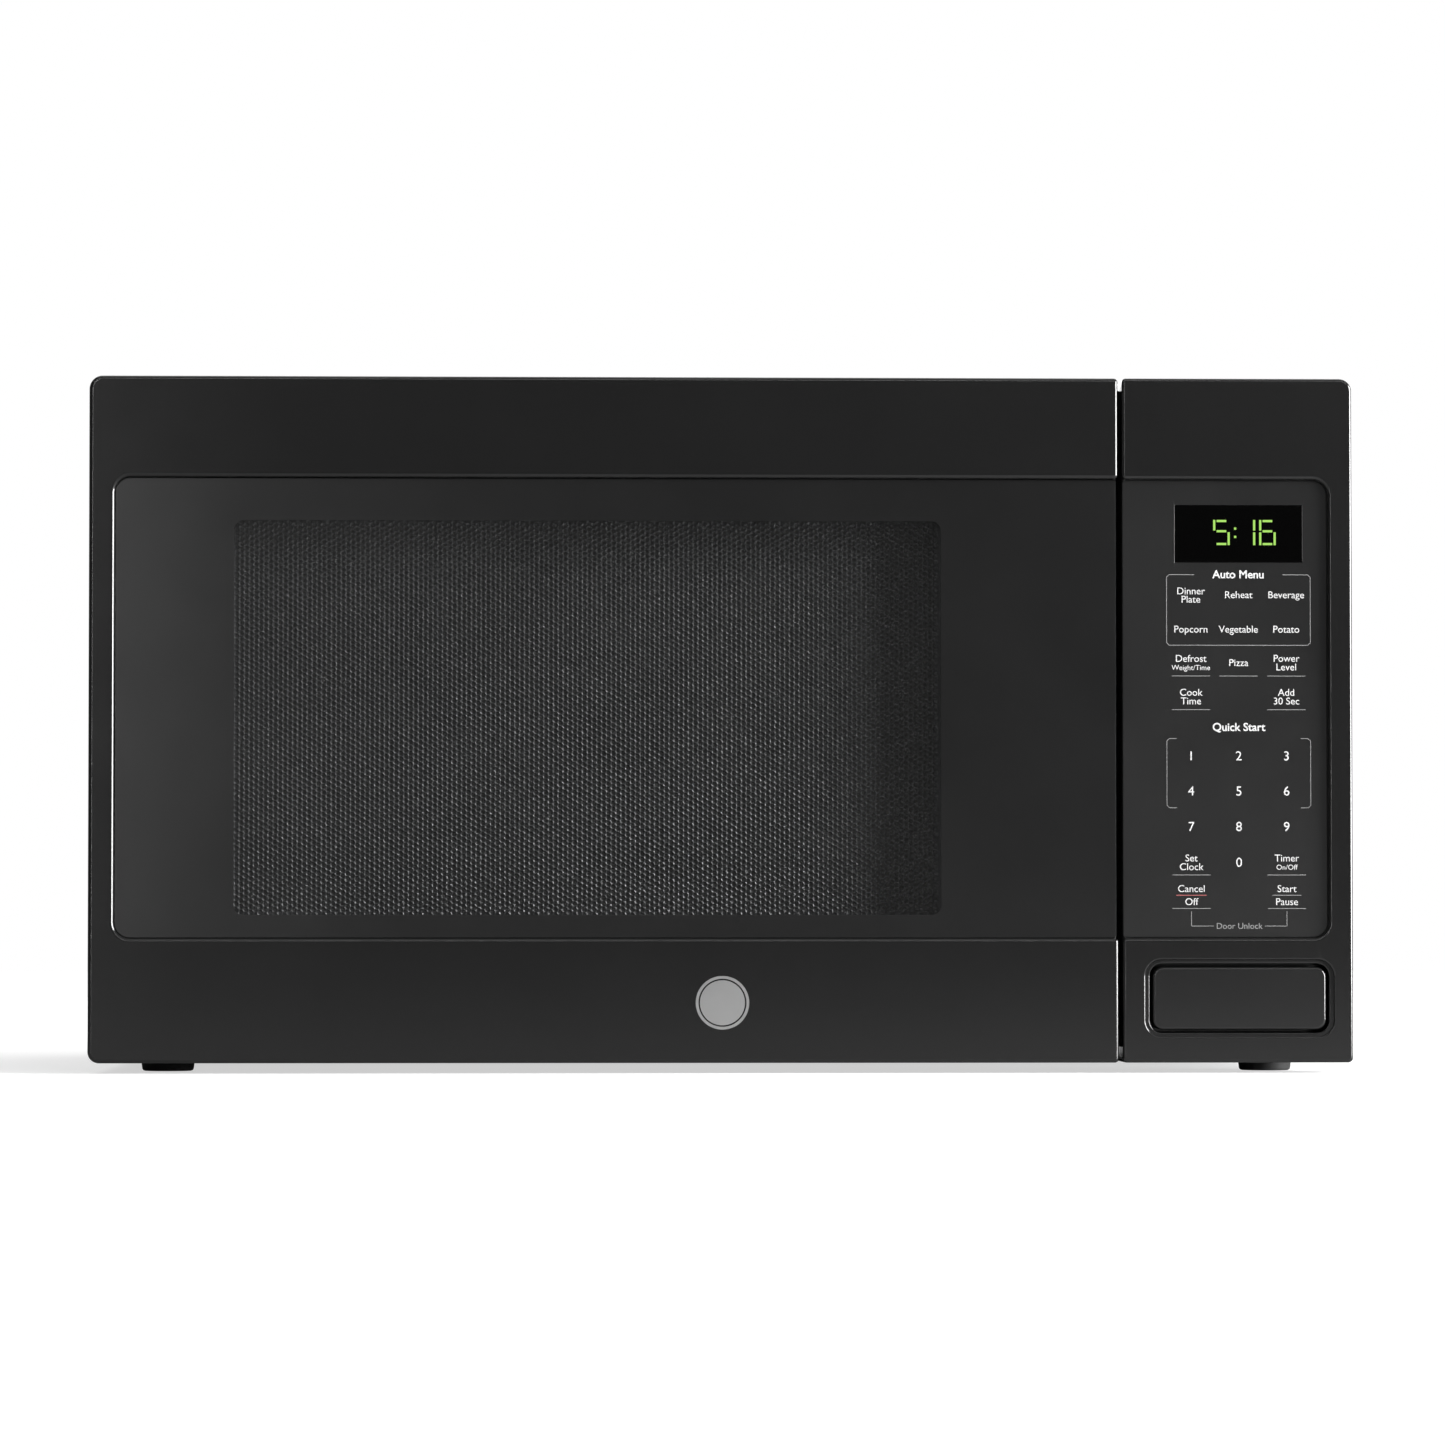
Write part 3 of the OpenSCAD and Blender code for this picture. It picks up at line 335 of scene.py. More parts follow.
# Cavity enamel, sprayed and fired: warm mid grey, glossy, faintly dimpled.
enamel = surface("fired_cavity_enamel", "#a5a39c", 0.22, ior=1.5, grain=1.6, depth=0.008, shade=0.03,
                 coat=0.2)
# Steel screen with a baked grey metallic paint: each hole's rolled edge glints.
screen_paint = surface("baked_grey_screen_paint", "#5a5b5c", 0.36, metallic=0.6, grain=0.3, depth=0.003,
                       shade=0.05)
# Natural nylon and polypropylene mouldings: milky, low gloss.
nylon = surface("natural_nylon_moulding", "#dcd8cc", 0.45, ior=1.53, grain=0.5, depth=0.006, shade=0.03)
# Neoprene feet and bush: dead black with a dusty, rough skin.
neoprene = surface("moulded_neoprene", "#191919", 0.75, ior=1.52, grain=0.3, depth=0.02, shade=0.1)
# Zinc-plated screws: bright bluish metal with fine turning marks.
zinc = surface("zinc_plated_steel", "#b9bcc0", 0.28, metallic=1.0, grain=0.2, depth=0.004, shade=0.05)
# Drawn spring wire: bright and smooth along the wire.
wire = surface("drawn_spring_wire", "#b4b6b8", 0.22, metallic=1.0, grain=0.15, depth=0.002, shade=0.04)
# Varnished transformer laminations: dark blue-grey steel with a resin sheen.
laminations = surface("varnished_laminations", "#4b4e54", 0.4, metallic=0.6, grain=0.5, depth=0.05,
                      shade=0.15,
                      stretch=(1, 12, 1), coat=0.3)
# Enamelled copper winding: red-brown, finely ribbed by the turns.
copper = surface("enamelled_copper_wire", "#8c4a20", 0.3, metallic=0.7, grain=0.9, depth=0.15, shade=0.1,
                 stretch=(0.1, 0.1, 1), coat=0.4)
# Rolled aluminium: cooling fins and the capacitor can, streaked along the rolling.
aluminium = surface("rolled_aluminium", "#b7babd", 0.32, metallic=1.0, grain=0.5, depth=0.003, shade=0.05,
                    stretch=(1, 0.1, 1))
# Glass-epoxy circuit board under green solder mask.
board_green = surface("solder_masked_board", "#235c3a", 0.35, ior=1.55, grain=0.6, depth=0.01, shade=0.12,
                      blotch=6)
# Dark phenolic mouldings: switches, cutouts and the display's body.
phenolic = surface("black_phenolic", "#26272a", 0.5, ior=1.6, grain=0.4, depth=0.01, shade=0.08)
# Red acetal plungers.
acetal = surface("red_acetal", "#b23428", 0.35, ior=1.48, grain=0.4, depth=0.003, shade=0.04)
# Pressed mica sheet: tan, flaky, faintly pearly.
mica = surface("pressed_mica_sheet", "#c8bd98", 0.42, ior=1.58, grain=1.5, depth=0.02, shade=0.12, blotch=8)
# Black acrylic over the display: deep gloss black.
black_acrylic = surface("black_acrylic", "#010101", 0.1, ior=1.49, grain=8, depth=0.002, shade=0.02,
                        Specular_IOR_Level=0.15)
# Back-printed border of the window sheet: gloss black behind clear acrylic. The same black is painted shade
# in the badge's groove.
printed_black_and_painted_shade = surface("back_printed_acrylic_and_painted_shade", "#111111", 0.22, ior=1.49, grain=6, depth=0.003, shade=0.05)
# Clear lacquered aluminium badge, spun, so it streaks round its middle.
badge_metal = surface("spun_aluminium_badge", "#c9c9c9", 0.3, metallic=1.0, grain=0.3, depth=0.004,
                      shade=0.05)
# Printed silver-grey legends and darker grey rules.
legend_ink = surface("legend_ink_light", "#b6b6b6", 0.5, grain=0.2, depth=0.001, shade=0.02)
rule_ink = surface("legend_ink_dark", "#757575", 0.5, grain=0.2, depth=0.001, shade=0.02)
stop_ink = surface("legend_ink_red", "#8d4a4a", 0.5, grain=0.2, depth=0.001, shade=0.02)


def clear_sheet(name, colour, opacity, roughness, ior=1.49, grain=8, depth=0.002):
    """A tinted see-through sheet: opacity is what the tint holds back."""
    material = surface(name, colour, roughness, ior=ior, grain=grain, depth=depth, shade=0.03, Alpha=opacity)
    material.surface_render_method = "DITHERED"
    return material


# Smoked acrylic over the window: it dims the screen behind and keeps its own gloss.
smoked_acrylic = clear_sheet("smoked_acrylic", "#141414", 0.35, 0.24)


def soda_glass(name, colour, roughness):
    """Pressed soda-lime glass: clear, a little green in depth, with shallow pressing ripples."""
    material = surface(name, colour, roughness, ior=1.52, grain=14, depth=0.03, shade=0.01,
                       Transmission_Weight=1.0, Alpha=0.55)
    material.surface_render_method = "DITHERED"
    return material


tray_glass = soda_glass("pressed_soda_glass", "#f0f7f4", 0.04)
lamp_glass = soda_glass("frosted_lamp_glass", "#f6f0dc", 0.25)


def lit_segment():
    """A vacuum fluorescent segment: an even green-yellow glow."""
    material = bpy.data.materials.new("lit_display_segment")
    material.use_nodes = True
    tree = material.node_tree
    tree.nodes.clear()
    place = add(tree, "TexCoord").outputs["Object"]
    mesh_lines = add(tree, "TexNoise", {"Vector": place, "Scale": 1 / (0.4 * MM), "Detail": 1.0})
    level = add(tree, "MapRange", {"Value": mesh_lines.outputs["Fac"], "To Min": 0.9, "To Max": 1.1})
    glow = add(tree, "VectorMath", {0: linear("#a3db5e")[:3], "Scale": level.outputs["Result"]},
               operation="SCALE")
    bsdf = add(tree, "BsdfPrincipled", {"Base Color": linear("#20300f"), "Roughness": 0.4,
                                        "Emission Color": glow.outputs["Vector"], "Emission Strength": 1.0})
    add(tree, "OutputMaterial", {"Surface": bsdf.outputs["BSDF"]})
    return material


segment_glow = lit_segment()


# ---------------------------------------------------------------- camera, light and floor

CENTRE = Vector(((cad_box[0][0] + cad_box[1][0]) / 2, FRONT, 169 * MM))


def camera():
    """A long lens, a little low and to the left, square to the front."""
    distance, across, below = 3.0, 0.100, 0.100
    data = bpy.data.cameras.new("camera")
    data.sensor_width = 36
    data.lens = 36 * distance / 0.696
    data.clip_end = 100
    eye = bpy.data.objects.new("camera", data)
    bpy.context.scene.collection.objects.link(eye)
    eye.location = CENTRE + Vector((-across, -distance, -below))
    look = CENTRE - eye.location
    eye.rotation_euler = look.to_track_quat("-Z", "Y").to_euler()
    bpy.context.scene.camera = eye


def softbox(name, place, target, size, power):
    """A rectangular area light aimed at the target."""
    data = bpy.data.lights.new(name, "AREA")
    data.shape = "RECTANGLE"
    data.size, data.size_y = size
    data.energy = power
    lamp = bpy.data.objects.new(name, data)
    bpy.context.scene.collection.objects.link(lamp)
    lamp.location = place
    lamp.rotation_euler = (Vector(target) - Vector(place)).to_track_quat("-Z", "Y").to_euler()


def studio():
    world = bpy.data.worlds.new("studio")
    bpy.context.scene.world = world
    world.use_nodes = True
    tree = world.node_tree
    tree.nodes.clear()
    seen = add(tree, "Background", {"Color": (1, 1, 1, 1), "Strength": 1.0})
    fill = add(tree, "Background", {"Color": (1, 1, 1, 1), "Strength": 0.14})
    ray = add(tree, "LightPath")
    mix = add(tree, "MixShader", {0: ray.outputs["Is Camera Ray"], 1: fill.outputs[0], 2: seen.outputs[0]})
    add(tree, "OutputWorld", {"Surface": mix.outputs[0]})
    target = (0, FRONT, 170 * MM)
    softbox("softbox_right", (1.7, -0.75, 0.3), target, (0.9, 1.6), 190)
    softbox("strip_left", (-0.75, -2.6, 0.3), target, (0.08, 1.8), 12)
    softbox("strip_top", (0, -1.8, 1.5), target, (3.2, 0.12), 14)
    softbox("softbox_top", (0, 0.3, 2.4), (0, 0, 0.2), (2.6, 2.0), 20)
    softbox("softbox_back", (0.6, 2.6, 1.1), (0, 0.2, 0.2), (2.4, 1.4), 30)
    bpy.ops.mesh.primitive_plane_add(size=14)
    floor = bpy.context.object
    floor.name = "floor"
    paint = surface("pale_floor_paint", "#a8a8a8", 0.8, grain=2, depth=0.01, shade=0.01)
    bsdf = paint.node_tree.nodes["Principled BSDF"]
    bsdf.inputs["Emission Color"].default_value = (1, 1, 1, 1)
    tree = paint.node_tree
    place = add(tree, "TexCoord").outputs["Object"]
    reach = add(tree, "VectorMath", {0: place}, operation="LENGTH")
    level = add(tree, "MapRange", {"Value": reach.outputs["Value"], "From Min": 0.35, "From Max": 0.9,
                                   "To Min": 0.6, "To Max": 1.0})
    seen = add(tree, "LightPath").outputs["Is Camera Ray"]
    glow = add(tree, "Math", {0: level.outputs["Result"], 1: seen}, operation="MULTIPLY")
    tree.links.new(glow.outputs[0], bsdf.inputs["Emission Strength"])
    floor.data.materials.append(paint)
    bpy.context.scene.view_settings.view_transform = "Standard"


camera()
studio()


# ---------------------------------------------------------------- door

at_front = at_depth(FRONT)


def plan_block(name, low, high, radius):
    """A block with its rear left upright edge rounded."""
    bpy.ops.mesh.primitive_cube_add(size=1, location=(low + high) / 2)
    piece = bpy.context.object
    piece.name = name
    piece.scale = high - low
    apply_place(piece)
    ease(piece, radius, 8, both(lambda p: abs(p.x - low.x) < 1e-6 and abs(p.y - high.y) < 1e-6))
    return piece


def band_ends(x):
    """An edge test for the upright corners where the bands end at the gap."""
    def near(point):
        level = min(abs(point.z - RECESS_LOW), abs(point.z - RECESS_TOP))
        return abs(point.x - x) < 1e-6 and level < 1e-6 and point.y < SHEET_HI.y + 1e-6
    return both(near)


def door_front():
    """The moulded door front: raised bands round a recess that runs out of its right side."""
    wall = 2.5 * MM
    over = 20 * MM
    piece = slab("door_front", DOOR, DOOR_HI, (5.5 * MM, 2 * MM, 2 * MM, 6.5 * MM), 10)
    plan = plan_block("plan", DOOR - Vector((0, over, over)), DOOR_HI + Vector((over, 0, over)), 6 * MM)
    use_modifier(piece, "BOOLEAN", operation="INTERSECT", solver="EXACT", object=plan)
    bpy.data.objects.remove(plan)
    carve(piece, slab("cutter", Vector((RECESS_LEFT, FRONT - over, RECESS_LOW)),
                      Vector((DOOR_HI.x + over, SHEET_HI.y, RECESS_TOP)), (RECESS_R, 0, 0, RECESS_R), 12))
    ease(piece, 2.1 * MM, 6, band_ends(DOOR_HI.x))
    ease(piece, 1.9 * MM, 6, both(at_front))
    back = SHEET_HI.y + wall
    inner_left = DOOR.x + 7 * MM
    hollow = slab("cutter", Vector((inner_left, back, DOOR.z + wall)),
                  Vector((DOOR_HI.x - wall, REAR + over, DOOR_HI.z - wall)))
    upper = slab("cutter", Vector((inner_left, FRONT + wall, RECESS_TOP + wall)),
                 Vector((DOOR_HI.x - wall, back + MM, DOOR_HI.z - wall)))
    lower = slab("cutter", Vector((inner_left, FRONT + wall, DOOR.z + wall)),
                 Vector((DOOR_HI.x - wall, back + MM, RECESS_LOW - wall)))
    screen, screen_hi = box("door_screen")
    hole = slab("cutter", Vector((screen.x - 2 * MM, FRONT, screen.z - 2 * MM)),
                Vector((screen_hi.x + 2 * MM, back + MM, screen_hi.z + 2 * MM)), (6 * MM,) * 4, 6)
    carve(piece, hollow, upper, lower, hole)
    badge_low, badge_hi = box("door_badge")
    centre = (badge_low + badge_hi) / 2
    carve(piece, disc("cutter", Vector((centre.x, FRONT - MM, centre.z)),
                      (badge_hi.x - badge_low.x) / 2 + 0.15 * MM,
                      1.4 * MM, 96))
    for arm in ("hinge_upper", "hinge_lower"):
        hinge_notch(piece, arm)
    return finished(piece, "door", "black_moulding", black_abs, "door_fascia")


def hinge_notch(piece, arm):
    """Adds a boss round the hinge pin, then clears the slot that the hinge plate swings through."""
    low, high = box(arm)
    upper = low.z > 0.17
    axis_x = low.x + 5 * MM
    axis_y = low.y + 5 * MM
    plate_z = (high.z - 2 * MM, high.z) if upper else (low.z, low.z + 2 * MM)
    edge = plate_z[0] - 0.5 * MM if upper else plate_z[1] + 0.5 * MM
    span = (edge - 8.7 * MM, edge) if upper else (edge, edge + 8.7 * MM)
    boss = slab("boss", Vector((DOOR.x + MM, axis_y - 7 * MM, span[0])),
                Vector((axis_x + 7 * MM, REAR - 1.5 * MM, span[1])))
    use_modifier(piece, "BOOLEAN", operation="UNION", solver="EXACT", object=boss)
    bpy.data.objects.remove(boss)
    bore = disc("cutter", Vector((axis_x, axis_y, span[0] + (0.5 * MM if upper else -MM))), 3.05 * MM,
                9.2 * MM, 32, "Z")
    slot = slab("cutter", Vector((DOOR.x - MM, axis_y - 9 * MM, plate_z[0] - 0.5 * MM)),
                Vector((axis_x + 7.2 * MM, REAR + MM, plate_z[1] + 0.5 * MM)))
    carve(piece, slot, bore)


def window_sheet():
    """The acrylic sheet that fills the door's recess: a printed border and a clear smoked middle."""
    r = RECESS_R - 0.2 * MM
    piece = slab("window_sheet", SHEET, SHEET_HI, (r, MM, MM, r), 12)
    ease(piece, 0.35 * MM, 2, both(at_depth(SHEET.y)))
    return piece


# Clear middle of the window, measured in from the door's edges
CLEAR = Vector((DOOR.x + 69.6 * MM, 0, DOOR.z + 71.3 * MM))
CLEAR_HI = Vector((DOOR_HI.x - 85.7 * MM, 0, DOOR_HI.z - 69.4 * MM))


def window():
    """Splits the sheet into its printed border and its clear middle, two pieces with two finishes."""
    border = window_sheet()
    low = Vector((CLEAR.x, SHEET.y - 5 * MM, CLEAR.z))
    high = Vector((CLEAR_HI.x, SHEET_HI.y + 5 * MM, CLEAR_HI.z))
    carve(border, slab("cutter", low, high, (4.6 * MM,) * 4, 8))
    middle = slab("window_clear", Vector((low.x, SHEET.y, low.z)), Vector((high.x, SHEET_HI.y, high.z)),
                  (4.6 * MM,) * 4, 8)
    finished(middle, "door", "smoked_window", smoked_acrylic)
    finished(border, "door", "smoked_window", printed_black_and_painted_shade, "door_window")


HOLE_PITCH = 2.7 * MM
COLUMN_PITCH = HOLE_PITCH * cos(radians(30))


def screen():
    """The perforated steel screen: a honeycomb of holes in a plain steel border."""
    low, high = box("door_screen")
    side = HOLE_PITCH / sqrt(3)
    first = Vector((CLEAR.x - 1.0 * MM, low.y, CLEAR.z - 1.5 * MM))
    columns = int((CLEAR_HI.x - CLEAR.x + 4 * MM) / COLUMN_PITCH / 2)
    rows = int((CLEAR_HI.z - CLEAR.z + 3 * MM) / HOLE_PITCH)
    cells = []
    for odd in (0, 1):
        middle = first + Vector((side + odd * COLUMN_PITCH, 0, HOLE_PITCH * (0.5 + odd * 0.5)))
        bpy.ops.mesh.primitive_circle_add(vertices=6, radius=side, fill_type="NGON", location=middle,
                                          rotation=(pi / 2, radians(30), 0))
        cell = bpy.context.object
        apply_place(cell)
        bpy.ops.object.mode_set(mode="EDIT")
        bpy.ops.mesh.select_all(action="SELECT")
        bpy.ops.mesh.inset(thickness=0.7 * MM)
        bpy.ops.transform.translate(value=(0, 0.5 * MM, 0))
        bpy.ops.mesh.delete(type="ONLY_FACE")
        done()
        cells.append(cell)
    mesh = join("door_mesh", cells)
    use_modifier(mesh, "ARRAY", count=columns, use_relative_offset=False, use_constant_offset=True,
                 constant_offset_displace=(2 * COLUMN_PITCH, 0, 0), use_merge_vertices=True,
                 merge_threshold=1e-5)
    use_modifier(mesh, "ARRAY", count=rows, use_relative_offset=False, use_constant_offset=True,
                 constant_offset_displace=(0, 0, HOLE_PITCH), use_merge_vertices=True, merge_threshold=1e-5)
    only(mesh)
    bpy.ops.object.mode_set(mode="EDIT")
    bpy.ops.mesh.select_all(action="SELECT")
    bpy.ops.mesh.remove_doubles(threshold=1e-5)
    done()
    finished(mesh, "door", "perforated_steel", screen_paint)
    spread = Vector((side + columns * 2 * COLUMN_PITCH, 0, HOLE_PITCH * (rows + 0.5)))
    plate = slab("screen_border", low, high, (6 * MM,) * 4, 6)
    lip = 0.3 * MM
    carve(plate, slab("cutter", Vector((first.x + lip, low.y - MM, first.z + lip)),
                      Vector((first.x + spread.x - lip, high.y + MM, first.z + spread.z - lip))))
    finished(plate, "door", "perforated_steel", screen_paint, "door_screen")


def badge():
    """A plain round badge: a spun disc with a raised rim and two shallow rings, and painted shade in the
    groove.
    """
    low, high = box("door_badge")
    centre = (low + high) / 2
    radius = (high.x - low.x) / 2
    piece = disc("door_badge_disc", Vector((centre.x, FRONT, centre.z)), radius, high.y - FRONT, 96)
    rings = [(1.3, 0.28), (2.6, -0.28), (0.5, 0.0), (3.2, 0.22), (1.4, 0.0)]
    mesh = edit(piece, "FACE")
    for face in mesh.polygons:
        face.select = face.normal.y < -0.9
    bpy.ops.object.mode_set(mode="EDIT")
    for width, rise in rings:
        bpy.ops.mesh.inset(thickness=width * MM)
        if rise:
            bpy.ops.mesh.extrude_region_move(TRANSFORM_OT_translate={"value": (0, rise * MM, 0)})
    done()
    outward(piece)
    finished(piece, "door", "badge_metal", badge_metal, "door_badge", angle=20)
    # A thin black ring in the groove inside the rim: painted shade, standing in for the groove's own shade.
    line = disc("door_badge_painted_shade_ring", Vector((centre.x, FRONT + 0.22 * MM, centre.z)), radius - 1.35 * MM,
                0.12 * MM, 96)
    carve(line, disc("cutter", Vector((centre.x, FRONT - MM, centre.z)), radius - 2.05 * MM, 3 * MM, 96))
    finished(line, "door", "black_moulding", printed_black_and_painted_shade)


door_front()
window()
screen()
badge()


# ---------------------------------------------------------------- control panel

def inside(point, low, high, margin):
    """Whether a point lies in the front view of a box grown by the margin."""
    return (low.x - margin < point.x < high.x + margin) and (low.z - margin < point.z < high.z + margin)


def in_dish(a, b):
    return inside(a, BUTTON, BUTTON_HI, 4 * MM) and inside(b, BUTTON, BUTTON_HI, 4 * MM)


def panel_front():
    """The control panel's moulding, with the same bands and recess, and holes for the button and display."""
    wall = 2.5 * MM
    over = 20 * MM
    piece = slab("panel_front", PANEL, PANEL_HI, (2 * MM, 2.5 * MM, 6 * MM, 2 * MM), 10)
    carve(piece, slab("cutter", Vector((PANEL.x - over, FRONT - over, RECESS_LOW)),
                      Vector((RECESS_RIGHT, OVERLAY_HI.y, RECESS_TOP)), (0, RECESS_R, RECESS_R, 0), 12))
    dish = FRONT + 1.1 * MM
    carve(piece, slab("cutter", Vector((BUTTON.x - 3.6 * MM, FRONT - over, BUTTON.z - 3.3 * MM)),
                      Vector((BUTTON_HI.x + 3.6 * MM, dish, BUTTON_HI.z + 3.5 * MM)), (8 * MM,) * 4, 12))
    ease(piece, 2 * MM, 6, band_ends(PANEL.x))
    ease(piece, 1.6 * MM, 5, lambda a, b: at_front(a) and at_front(b) and not in_dish(a, b))
    ease(piece, 0.9 * MM, 4, lambda a, b: at_front(a) and at_front(b) and in_dish(a, b))
    carve(piece, slab("cutter", Vector((BUTTON.x - 1.5 * MM, FRONT - over, BUTTON.z - 1.5 * MM)),
                      Vector((BUTTON_HI.x + 1.3 * MM, FRONT + 24 * MM, BUTTON_HI.z + 1.6 * MM)),
                      (6 * MM,) * 4, 10))
    ease(piece, 0.6 * MM, 3, both(lambda p: abs(p.y - dish) < 1e-6 and inside(p, BUTTON, BUTTON_HI,
                                                                              1.8 * MM)))
    inner = Vector((PANEL.x + wall, OVERLAY_HI.y + wall, PANEL.z + wall))
    hollow = slab("cutter", inner, Vector((PANEL_HI.x - wall, PANEL_HI.y + MM, PANEL_HI.z - wall)))
    upper = slab("cutter", Vector((inner.x, FRONT + wall, RECESS_TOP + wall)),
                 Vector((PANEL_HI.x - wall, inner.y + MM, PANEL_HI.z - wall)))
    opening = slab("cutter", Vector((LENS.x, FRONT - MM, LENS.z)),
                   Vector((LENS_HI.x, inner.y + MM, LENS_HI.z)))
    carve(piece, hollow, upper, opening)
    return finished(piece, "cabinet", "black_moulding", black_abs, "panel_fascia")


def guide_wall():
    """The rib behind the button that carries its spring and guides its stem."""
    stem = (BUTTON + BUTTON_HI) / 2
    wall = slab("button_guide", Vector((PANEL.x + 2 * MM, FRONT + 25.5 * MM, PANEL.z + 2 * MM)),
                Vector((PANEL_HI.x - 2 * MM, FRONT + 27.5 * MM, RECESS_LOW - 2 * MM)))
    carve(wall, slab("cutter", Vector((stem.x - 5.5 * MM, FRONT, stem.z - 2.5 * MM)),
                     Vector((stem.x + 5.5 * MM, FRONT + 40 * MM, stem.z + 2.5 * MM)), (0.5 * MM,) * 4, 3))
    finished(wall, "cabinet", "black_moulding", black_abs)


def keypad():
    """The keypad's film, with its corners following the recess."""
    r = RECESS_R - 0.6 * MM
    film = slab("keypad_film", OVERLAY, OVERLAY_HI, (MM, r, r, MM), 12)
    carve(film, slab("cutter", Vector((LENS.x, OVERLAY.y - MM, LENS.z)),
                     Vector((LENS_HI.x, OVERLAY_HI.y + MM, LENS_HI.z))))
    ease(film, 0.15 * MM, 1, both(at_depth(OVERLAY.y)))
    finished(film, "cabinet", "keypad_film", keypad_film, "keypad_overlay")


def display():
    """The black acrylic lens over the display."""
    lens = slab("display_lens_sheet", LENS, LENS_HI, (0.7 * MM,) * 4, 4)
    ease(lens, 0.3 * MM, 3, both(at_depth(LENS.y)))
    finished(lens, "cabinet", "display_acrylic", black_acrylic, "display_lens")


INK = 0.03 * MM          # how far the print stands off the surface it is on
COLUMN = 23.15 * MM
MIDDLE = (LENS.x + LENS_HI.x) / 2 - 0.2 * MM


def bar(x0, z0, x1, z1, width, y):
    """A straight printed line or lit bar."""
    along = Vector((x1 - x0, 0, z1 - z0))
    length = along.length
    bpy.ops.mesh.primitive_cube_add(size=1, location=((x0 + x1) / 2, y + INK / 2, (z0 + z1) / 2),
                                    rotation=(0, -atan2(along.z, along.x), 0))
    piece = bpy.context.object
    piece.scale = (length, INK, width)
    apply_place(piece)
    return piece


def segments():
    """The clock's digits, each made of its lit bars out of seven, two dots between them."""
    wide, high, thick = 7.0 * MM, 11.15 * MM, 1.05 * MM
    base = LENS.z + 9.0 * MM
    waist = 0.556 * high
    y = LENS.y - INK
    inset = 1.15 * MM
    bars = {"top": (inset, high, wide - inset, high), "middle": (inset, waist, wide - inset, waist),
            "low": (inset, 0, wide - inset, 0),
            "left_up": (0, waist + 0.35 * MM, 0, high + thick / 2),
            "left_low": (0, -thick / 2, 0, waist - 0.5 * MM),
            "right_up": (wide, waist + 0.35 * MM, wide, high + thick / 2),
            "right_low": (wide, -thick / 2, wide, waist - 0.5 * MM)}
    digits = [(-11.65, ("top", "left_up", "middle", "right_low", "low")),
              (0.75, ("right_up", "right_low")),
              (10.7, ("top", "left_up", "left_low", "middle", "right_low", "low"))]
    lit = []
    for start, names in digits:
        x = MIDDLE + start * MM
        for name in names:
            x0, z0, x1, z1 = bars[name]
            lit.append(bar(x + x0, base + z0, x + x1, base + z1, thick, y))
    for part in (0.31, 0.67):
        x = MIDDLE - 1.5 * MM
        z = base + part * high
        lit.append(bar(x - thick / 2, z, x + thick / 2, z, thick, y))
    finished(join("display_digits", lit), "cabinet", "display_acrylic", segment_glow)


def letters(words, x, z, height, weight=0.0):
    """One printed word or number, centred at x with its middle at z."""
    bpy.ops.object.text_add(rotation=(pi / 2, 0, 0))
    piece = bpy.context.object
    piece.data.body = words
    piece.data.size = height / 0.64
    piece.data.align_x = "CENTER"
    piece.data.extrude = INK / 2
    piece.data.offset = weight
    piece.data.resolution_u = 4
    piece.location = (x, OVERLAY.y - INK / 2, z - height / 2)
    only(piece)
    bpy.ops.object.convert(target="MESH")
    apply_place(piece)
    outward(piece)
    return piece


def legends():
    """Key legends: numbers and plain function words, in columns under the display."""
    top = LENS.z
    big, word, small = 4.1 * MM, 3.1 * MM, 2.25 * MM
    light, dark = [], []

    def key(column, drop, *lines, height=word, gap=4.2, weight=0.0):
        for i, line in enumerate(lines):
            offset = ((len(lines) - 1) / 2 - i) * gap * MM
            light.append(letters(line, MIDDLE + column * COLUMN, top - drop * MM + offset, height,
                                 weight * MM))

    def rule(column, drop, half=9.3, width=0.3):
        x = MIDDLE + column * COLUMN
        dark.append(bar(x - half * MM, top - drop * MM, x + half * MM, top - drop * MM, width * MM,
                        OVERLAY.y - INK))

    key(0, 5.8, "Auto Menu", height=3.5 * MM, weight=0.1)
    key(-1, 15.9, "Dinner", "Plate", gap=4)
    key(0, 15.7, "Reheat")
    key(1, 15.7, "Beverage")
    key(-1, 32.4, "Popcorn")
    key(0, 32.4, "Vegetable")
    key(1, 32.4, "Potato")
    key(-1, 46.6, "Defrost")
    key(-1, 51.0, "Weight/Time", height=small)
    key(0, 48.6, "Pizza")
    key(1, 48.6, "Power", "Level", gap=4.2)
    key(-1, 65.1, "Cook", "Time", gap=4.2)
    key(1, 65.1, "Add", "30 Sec", gap=4.2)
    key(0, 79.8, "Quick Start", height=3.5 * MM, weight=0.1)
    for i, drop in enumerate((93.8, 110.8, 128.0)):
        for j in (-1, 0, 1):
            key(j, drop, str(3 * i + j + 2), height=big, weight=0)
    key(0, 145.3, "0", height=big, weight=0)
    key(-1, 145.3, "Set", "Clock", gap=4.2)
    key(1, 143.2, "Timer")
    key(1, 147.6, "On/Off", height=small)
    key(-1, 158.0, "Cancel")
    key(-1, 164.3, "Off")
    key(1, 158.0, "Start")
    key(1, 164.3, "Pause")
    for column, drop in ((-1, 55.0), (0, 55.0), (1, 55.0), (-1, 71.3), (1, 71.3), (-1, 151.3), (1, 151.3),
                         (-1, 167.5), (1, 167.5)):
        rule(column, drop)
    rule(1, 161.1, 7.0)
    finished(bar(MIDDLE - COLUMN - 7.4 * MM, top - 161.1 * MM, MIDDLE - COLUMN + 7.4 * MM, top - 161.1 * MM,
                 0.35 * MM, OVERLAY.y - INK), "cabinet", "keypad_film", stop_ink).name = "legend_stop_rule"
    frames(dark, top)
    dim = letters("Door Unlock", MIDDLE, top - 176.0 * MM, 2.65 * MM, 0)
    finished(join("legends_light", light), "cabinet", "keypad_film", legend_ink)
    finished(join("legends_dark", dark + [dim]), "cabinet", "keypad_film", rule_ink)


